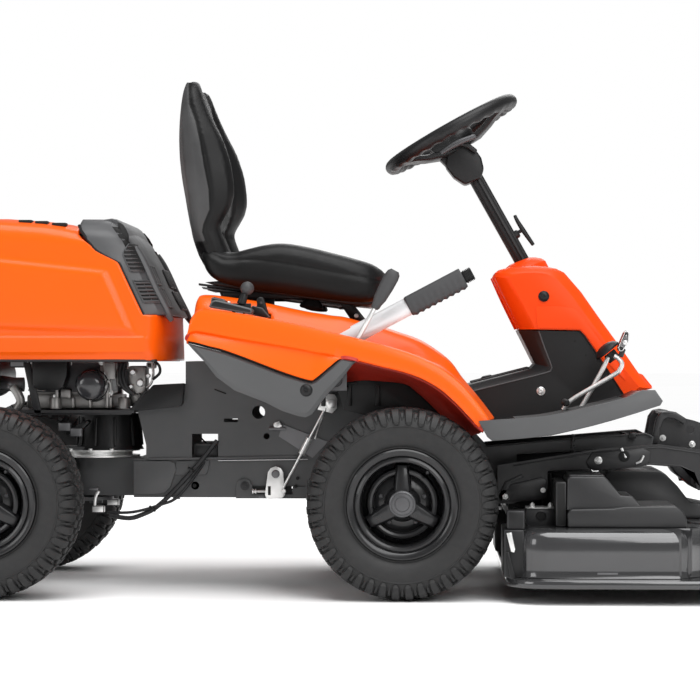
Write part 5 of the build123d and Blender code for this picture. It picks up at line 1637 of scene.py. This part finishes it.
# ---------------------------------------------------------------- frame
def main_frame():
    dress("frame_plates", "plate", 0.8)
    dress("lower_beam", "plate", 1.5)
    dress("front_axle", "casting", 2.5)
    piece = Piece("frame_fittings", "chassis", "plate")
    for sign in SIDES:
        face = sign * 122
        out = face + sign * 1.6
        strip(piece, [(-566, 288), (-450, 289), (-214, 294)], 5, face, face + sign * 4)
        strip(piece, [(184, 316), (533, 345), (548, 338)], 4, face - sign * 10, face + sign * 8,
              "steel_black")
        strip(piece, [(-412, 283), (-212, 286)], 2.2, face, face + sign * 5.5, "tube", 0.6)
        piece.prism([(-600, 281), (-520, 281), (-508, 276), (-504, 262), (-518, 222), (-530, 210),
                     (-546, 207), (-600, 207)], sign * 118, sign * 126, edge=2)
        piece.prism([(-502, 281), (-430, 283), (-434, 262), (-438, 252), (-446, 250), (-520, 250)],
                    sign * 118, sign * 123, edge=1)
        # Near-black disc in the plate's opening: painted shade.
        piece.lathe([(4.5, -1), (4.5, 0.4)], (-464, out, 226), (0, sign, 0), 16, "shade_hole")
        piece.block(-512, -496, face, face + sign * 3, 196, 204, "bracket", 0.6)
        piece.block(-322, -308, face, face + sign * 3, 199, 203, "bracket", 0.4)
        # Near-black slits in the plate: painted shade.
        for x, z in ((-420, 440), (-330, 420)):
            piece.tube([(x, face, z), (x + 26, out, z - 10)], 1.5, 6, 1, "shade_hole")
    piece.block(-468, -414, -100, 100, 285, 318, "steel_black", 4)
    piece.tube([(-462, -60, 338), (-448, -60, 322), (-440, -60, 316)], 2, 6, 2, "hose")
    for x, z in ((-470, 262), (-556, 176)):
        piece.lathe([(9, -2), (9.4, 0), (9, 2)], (x, -140, z), (0.65, 0, 0.75), 18, "black")
    piece.done()


def rear_unit():
    dress("rear_yoke", "plate", 1.5)
    dress("transaxle", "casting", 3)
    dress("steering_ring", "zinc", 0.6)
    piece = Piece("rear_unit_fittings", "rear_unit", "steel_black")
    for x, y, z in ((-754, -118, 356), (-728, -118, 344)):
        piece.block(x - 14, x + 14, y - 6, y + 6, z - 10, z + 10, "bracket", 2)
    for turn in range(0, 360, 30):
        x, y = -700 + 92 * math.cos(math.radians(turn)), 92 * math.sin(math.radians(turn))
        piece.lathe([(5, 0), (5, 4), (4, 5)], (x, y, 302), UP, 8, "zinc")
    for sign in SIDES:
        piece.tube([(-686, sign * 126, 172), (-684, sign * 130, 200), (-676, sign * 128, 214)], 3.4, 8, 3,
                   "zinc")
        piece.block(-692, -664, sign * 118, sign * 134, 166, 182, "zinc", 2)
        piece.block(-700, -676, sign * 118, sign * 130, 214, 222, "bracket", 2)
    for k in range(7):
        piece.block(-950 + 16 * k, -942 + 16 * k, -112, 112, 280, 296, "casting", 2)
    piece.done()


# ---------------------------------------------------------------- engine
def engine():
    block = Piece("engine_crankcase", "chassis", "casting_light")
    block.block(-842, -650, -100, 100, 396, 428, edge=6)
    block.block(-834, -660, -96, 96, 426, 505, "casting", 7)
    for k in range(8):
        z = 436 + 9 * k
        block.block(-838, -800, -108, 108, z, z + 3.5, "casting_light", 0.8)
    for x0, x1, z0, z1, out in ((-762, -740, 420, 440, 126), (-676, -652, 420, 492, 118),
                                (-776, -768, 400, 470, 120), (-668, -640, 462, 500, 124),
                                (-738, -732, 398, 422, 122), (-700, -694, 398, 418, 122),
                                (-664, -656, 398, 460, 122)):
        for sign in SIDES:
            block.block(x0, x1, sign * 90, sign * out, z0, z1, edge=3)
    for x in (-776, -622):
        for sign in SIDES:
            spot = (x, sign * 112, 397)
            block.lathe([(14, 0), (14, 22), (12, 25), (6, 25)], spot, UP, 24)
            block.lathe([(6, 0), (6, 30), (5, 32)], spot, UP, 6, "zinc")
    for x, z in ((-782, 492), (-746, 498), (-672, 500), (-654, 432)):
        block.bolt((x, -112, z), RIGHT, 5, 5)
    block.tube([(-664, -122, 480), (-664, -124, 462), (-652, -124, 454), (-650, -124, 430)], 2, 8, 4,
               "zinc")
    block.done("engine_block", slot="engine_casting")
    dress("engine_plate", "steel_black", 1.5)
    covers = Piece("engine_covers", "chassis", "black")
    covers.prism([(-820, 508), (-740, 508), (-742, 470), (-750, 446), (-764, 438), (-806, 438),
                  (-820, 448)], -168, -112, edge=6)
    covers.prism([(-842, 500), (-826, 500), (-800, 386), (-818, 386)], -150, -144, "y", "steel_black", 1.5)
    covers.block(-872, -838, -152, -112, 488, 514, "bracket", 3)
    covers.prism([(-554, 450), (-484, 454), (-488, 408), (-494, 402), (-607, 391), (-600, 398)], -150, -124,
                 edge=3)
    covers.prism([(-609, 391), (-829, 387), (-829, 382), (-604, 384), (-566, 436), (-572, 440)], -142, -126,
                 "y", "steel_black", 1)
    covers.tube([(-870, -120, 446), (-858, -122, 430), (-852, -122, 412), (-862, -118, 396)], 10, 14, 4,
                "casting_light")
    covers.done()
    housing = Piece("blower_cover", "chassis", "black")
    rows = []
    for z, grow in ((384, 0), (378, 2), (350, 4), (318, 8), (306, 20), (303, 24)):
        long, wide = 66 + grow * 0.5, 72 + grow * 0.4
        rows.append([(-669 + long * math.cos(a), wide * math.sin(a), z) for a in turns(48)])
    housing.grid(rows, wrap=True, caps=True)
    for a in turns(10):
        c, s = math.cos(a), math.sin(a)
        housing.tube([(-669 + 68 * c, 74 * s, 376), (-669 + 74 * c, 80 * s, 312)], 3.5, 8, 1)
    housing.prism([(-737, 356), (-706, 372), (-700, 366), (-722, 344), (-752, 336), (-756, 344)], -110, -70,
                  edge=3)
    housing.done("blower_housing", slot="blower_plastic")


def engine_parts():
    can = Piece("oil_filter_can", "chassis", "filter")
    can.lathe([(33, 0), (35, 3), (35, 12), (33.5, 14), (33.5, 56), (31, 66), (25, 73), (16, 76.5),
               (1, 77.5)], (-690, -112, 450), RIGHT, 48)
    can.lathe([(38, -4), (38, 2), (36, 4)], (-690, -112, 450), RIGHT, 40, "steel_black")
    can.done("oil_filter", slot="filter_paint")
    carb = Piece("carburettor_body", "chassis", "casting_light")
    carb.block(-612, -572, -126, -60, 430, 492, "casting_light", 5)
    carb.block(-640, -608, -112, -60, 446, 484, "casting", 4)
    carb.lathe([(20, 0), (22, 4), (22, 18), (18, 24), (8, 26)], (-592, -92, 432), (0, 0, -1), 28)
    for x, z, radius in ((-600, 478, 7), (-584, 454, 9), (-566, 470, 5), (-604, 446, 5)):
        carb.lathe([(radius, 0), (radius, 9), (radius * 0.7, 12)], (x, -126, z), RIGHT, 18, "zinc")
    carb.tube([(-560, -118, 500), (-556, -122, 476), (-562, -120, 452), (-580, -118, 438)], 3, 8, 4, "zinc")
    for shift in (0, 8):
        carb.tube([(-618 - shift, -134, 498), (-621 - shift, -140, 470), (-612 - shift, -140, 444),
                   (-596, -134, 428)], 4.4, 12, 5, "hose")
    carb.tube([(-552, -134, 502), (-541, -140, 492), (-540, -140, 476), (-556, -132, 462)], 3.2, 10, 5,
              "hose")
    carb.block(-572, -552, -120, -86, 486, 500, "black", 3)
    carb.done("carburettor", slot="carburettor_casting")
    dress("muffler", "bracket", 2)
    dress("battery", "black", 2)
    dress("fuel_tank", "tank", 3)
    dress("fuel_cap", "black", 1.5)


deck()
belt_covers()
spindles()
front_frame()
lifting_gear()
main_frame()
rear_unit()
engine()
engine_parts()


# ---------------------------------------------------------------- stage, light and camera
FLOOR_HALF, FLOOR_DROP = 60.0, 0.0004


def floor():
    """White ground that takes the shadow, just under the tyres."""
    mesh = bpy.data.meshes.new("floor")
    corners = [(-FLOOR_HALF, -FLOOR_HALF), (FLOOR_HALF, -FLOOR_HALF), (FLOOR_HALF, FLOOR_HALF),
               (-FLOOR_HALF, FLOOR_HALF)]
    mesh.from_pydata([(x, y, 0) for x, y in corners], [], [(0, 1, 2, 3)])
    material, nodes, links, shader = new_material("floor_white")
    slow = add_noise(nodes, links, 0.6, 2.0)
    links.new(ramp(nodes, links, slow, 0.3, 0.7, (0.96, 0.96, 0.96), (0.985, 0.985, 0.985)),
              shader.inputs["Base Color"])
    shader.inputs["Roughness"].default_value = 0.9
    mesh.materials.append(material)
    obj = link(bpy.data.objects.new("floor", mesh))
    obj.location.z = -FLOOR_DROP


def soft_light(name, spot, aim, size, power):
    light = bpy.data.lights.new(name, "AREA")
    light.shape = "RECTANGLE"
    light.size = size
    light.size_y = size
    light.energy = power
    obj = link(bpy.data.objects.new(name, light))
    obj.location = spot
    obj.rotation_euler = (Vector(aim) - Vector(spot)).to_track_quat("-Z", "Y").to_euler()


LIT, SEEN = 0.26, 1.0
SUN_POWER, SUN_SPREAD, SUN_TILT = 2.6, 50, (14, 5)


def studio():
    """White background, dimmer light all round, a broad light overhead and soft lights for shape."""
    world = bpy.data.worlds.new("studio")
    world.use_nodes = True
    nodes, links = world.node_tree.nodes, world.node_tree.links
    background = nodes["Background"]
    background.inputs["Color"].default_value = (1, 1, 1, 1)
    path = nodes.new("ShaderNodeLightPath")
    links.new(span(nodes, links, path.outputs["Is Camera Ray"], LIT, SEEN), background.inputs["Strength"])
    bpy.context.scene.world = world
    sun = bpy.data.lights.new("overhead", "SUN")
    sun.energy = SUN_POWER
    sun.angle = math.radians(SUN_SPREAD)
    overhead = link(bpy.data.objects.new("overhead", sun))
    overhead.rotation_euler = (*map(math.radians, SUN_TILT), 0)
    soft_light("key", (1.9, -3.6, 2.6), (0.1, 0, 0.4), 2.4, 80)
    soft_light("fill", (-3.4, -3.0, 1.6), (-0.3, 0, 0.5), 1.8, 34)
    soft_light("rim_light", (0.5, 3.4, 3.0), (0, 0, 0.5), 2.4, 45)
    bpy.context.scene.view_settings.view_transform = "Standard"


CAMERA_SPOT = (0.1989, -5.557, 0.5185)
CAMERA_YAW, CAMERA_PITCH = 0.0316, -0.0016
LENS, SENSOR = 126.2, 36.0


def camera():
    data = bpy.data.cameras.new("camera")
    data.lens = LENS
    data.sensor_width = SENSOR
    obj = link(bpy.data.objects.new("camera", data))
    obj.location = CAMERA_SPOT
    level_part = math.cos(CAMERA_PITCH)
    way = Vector((-math.sin(CAMERA_YAW) * level_part, math.cos(CAMERA_YAW) * level_part,
                  -math.sin(CAMERA_PITCH)))
    obj.rotation_euler = way.to_track_quat("-Z", "Y").to_euler()
    bpy.context.scene.camera = obj


floor()
studio()
camera()
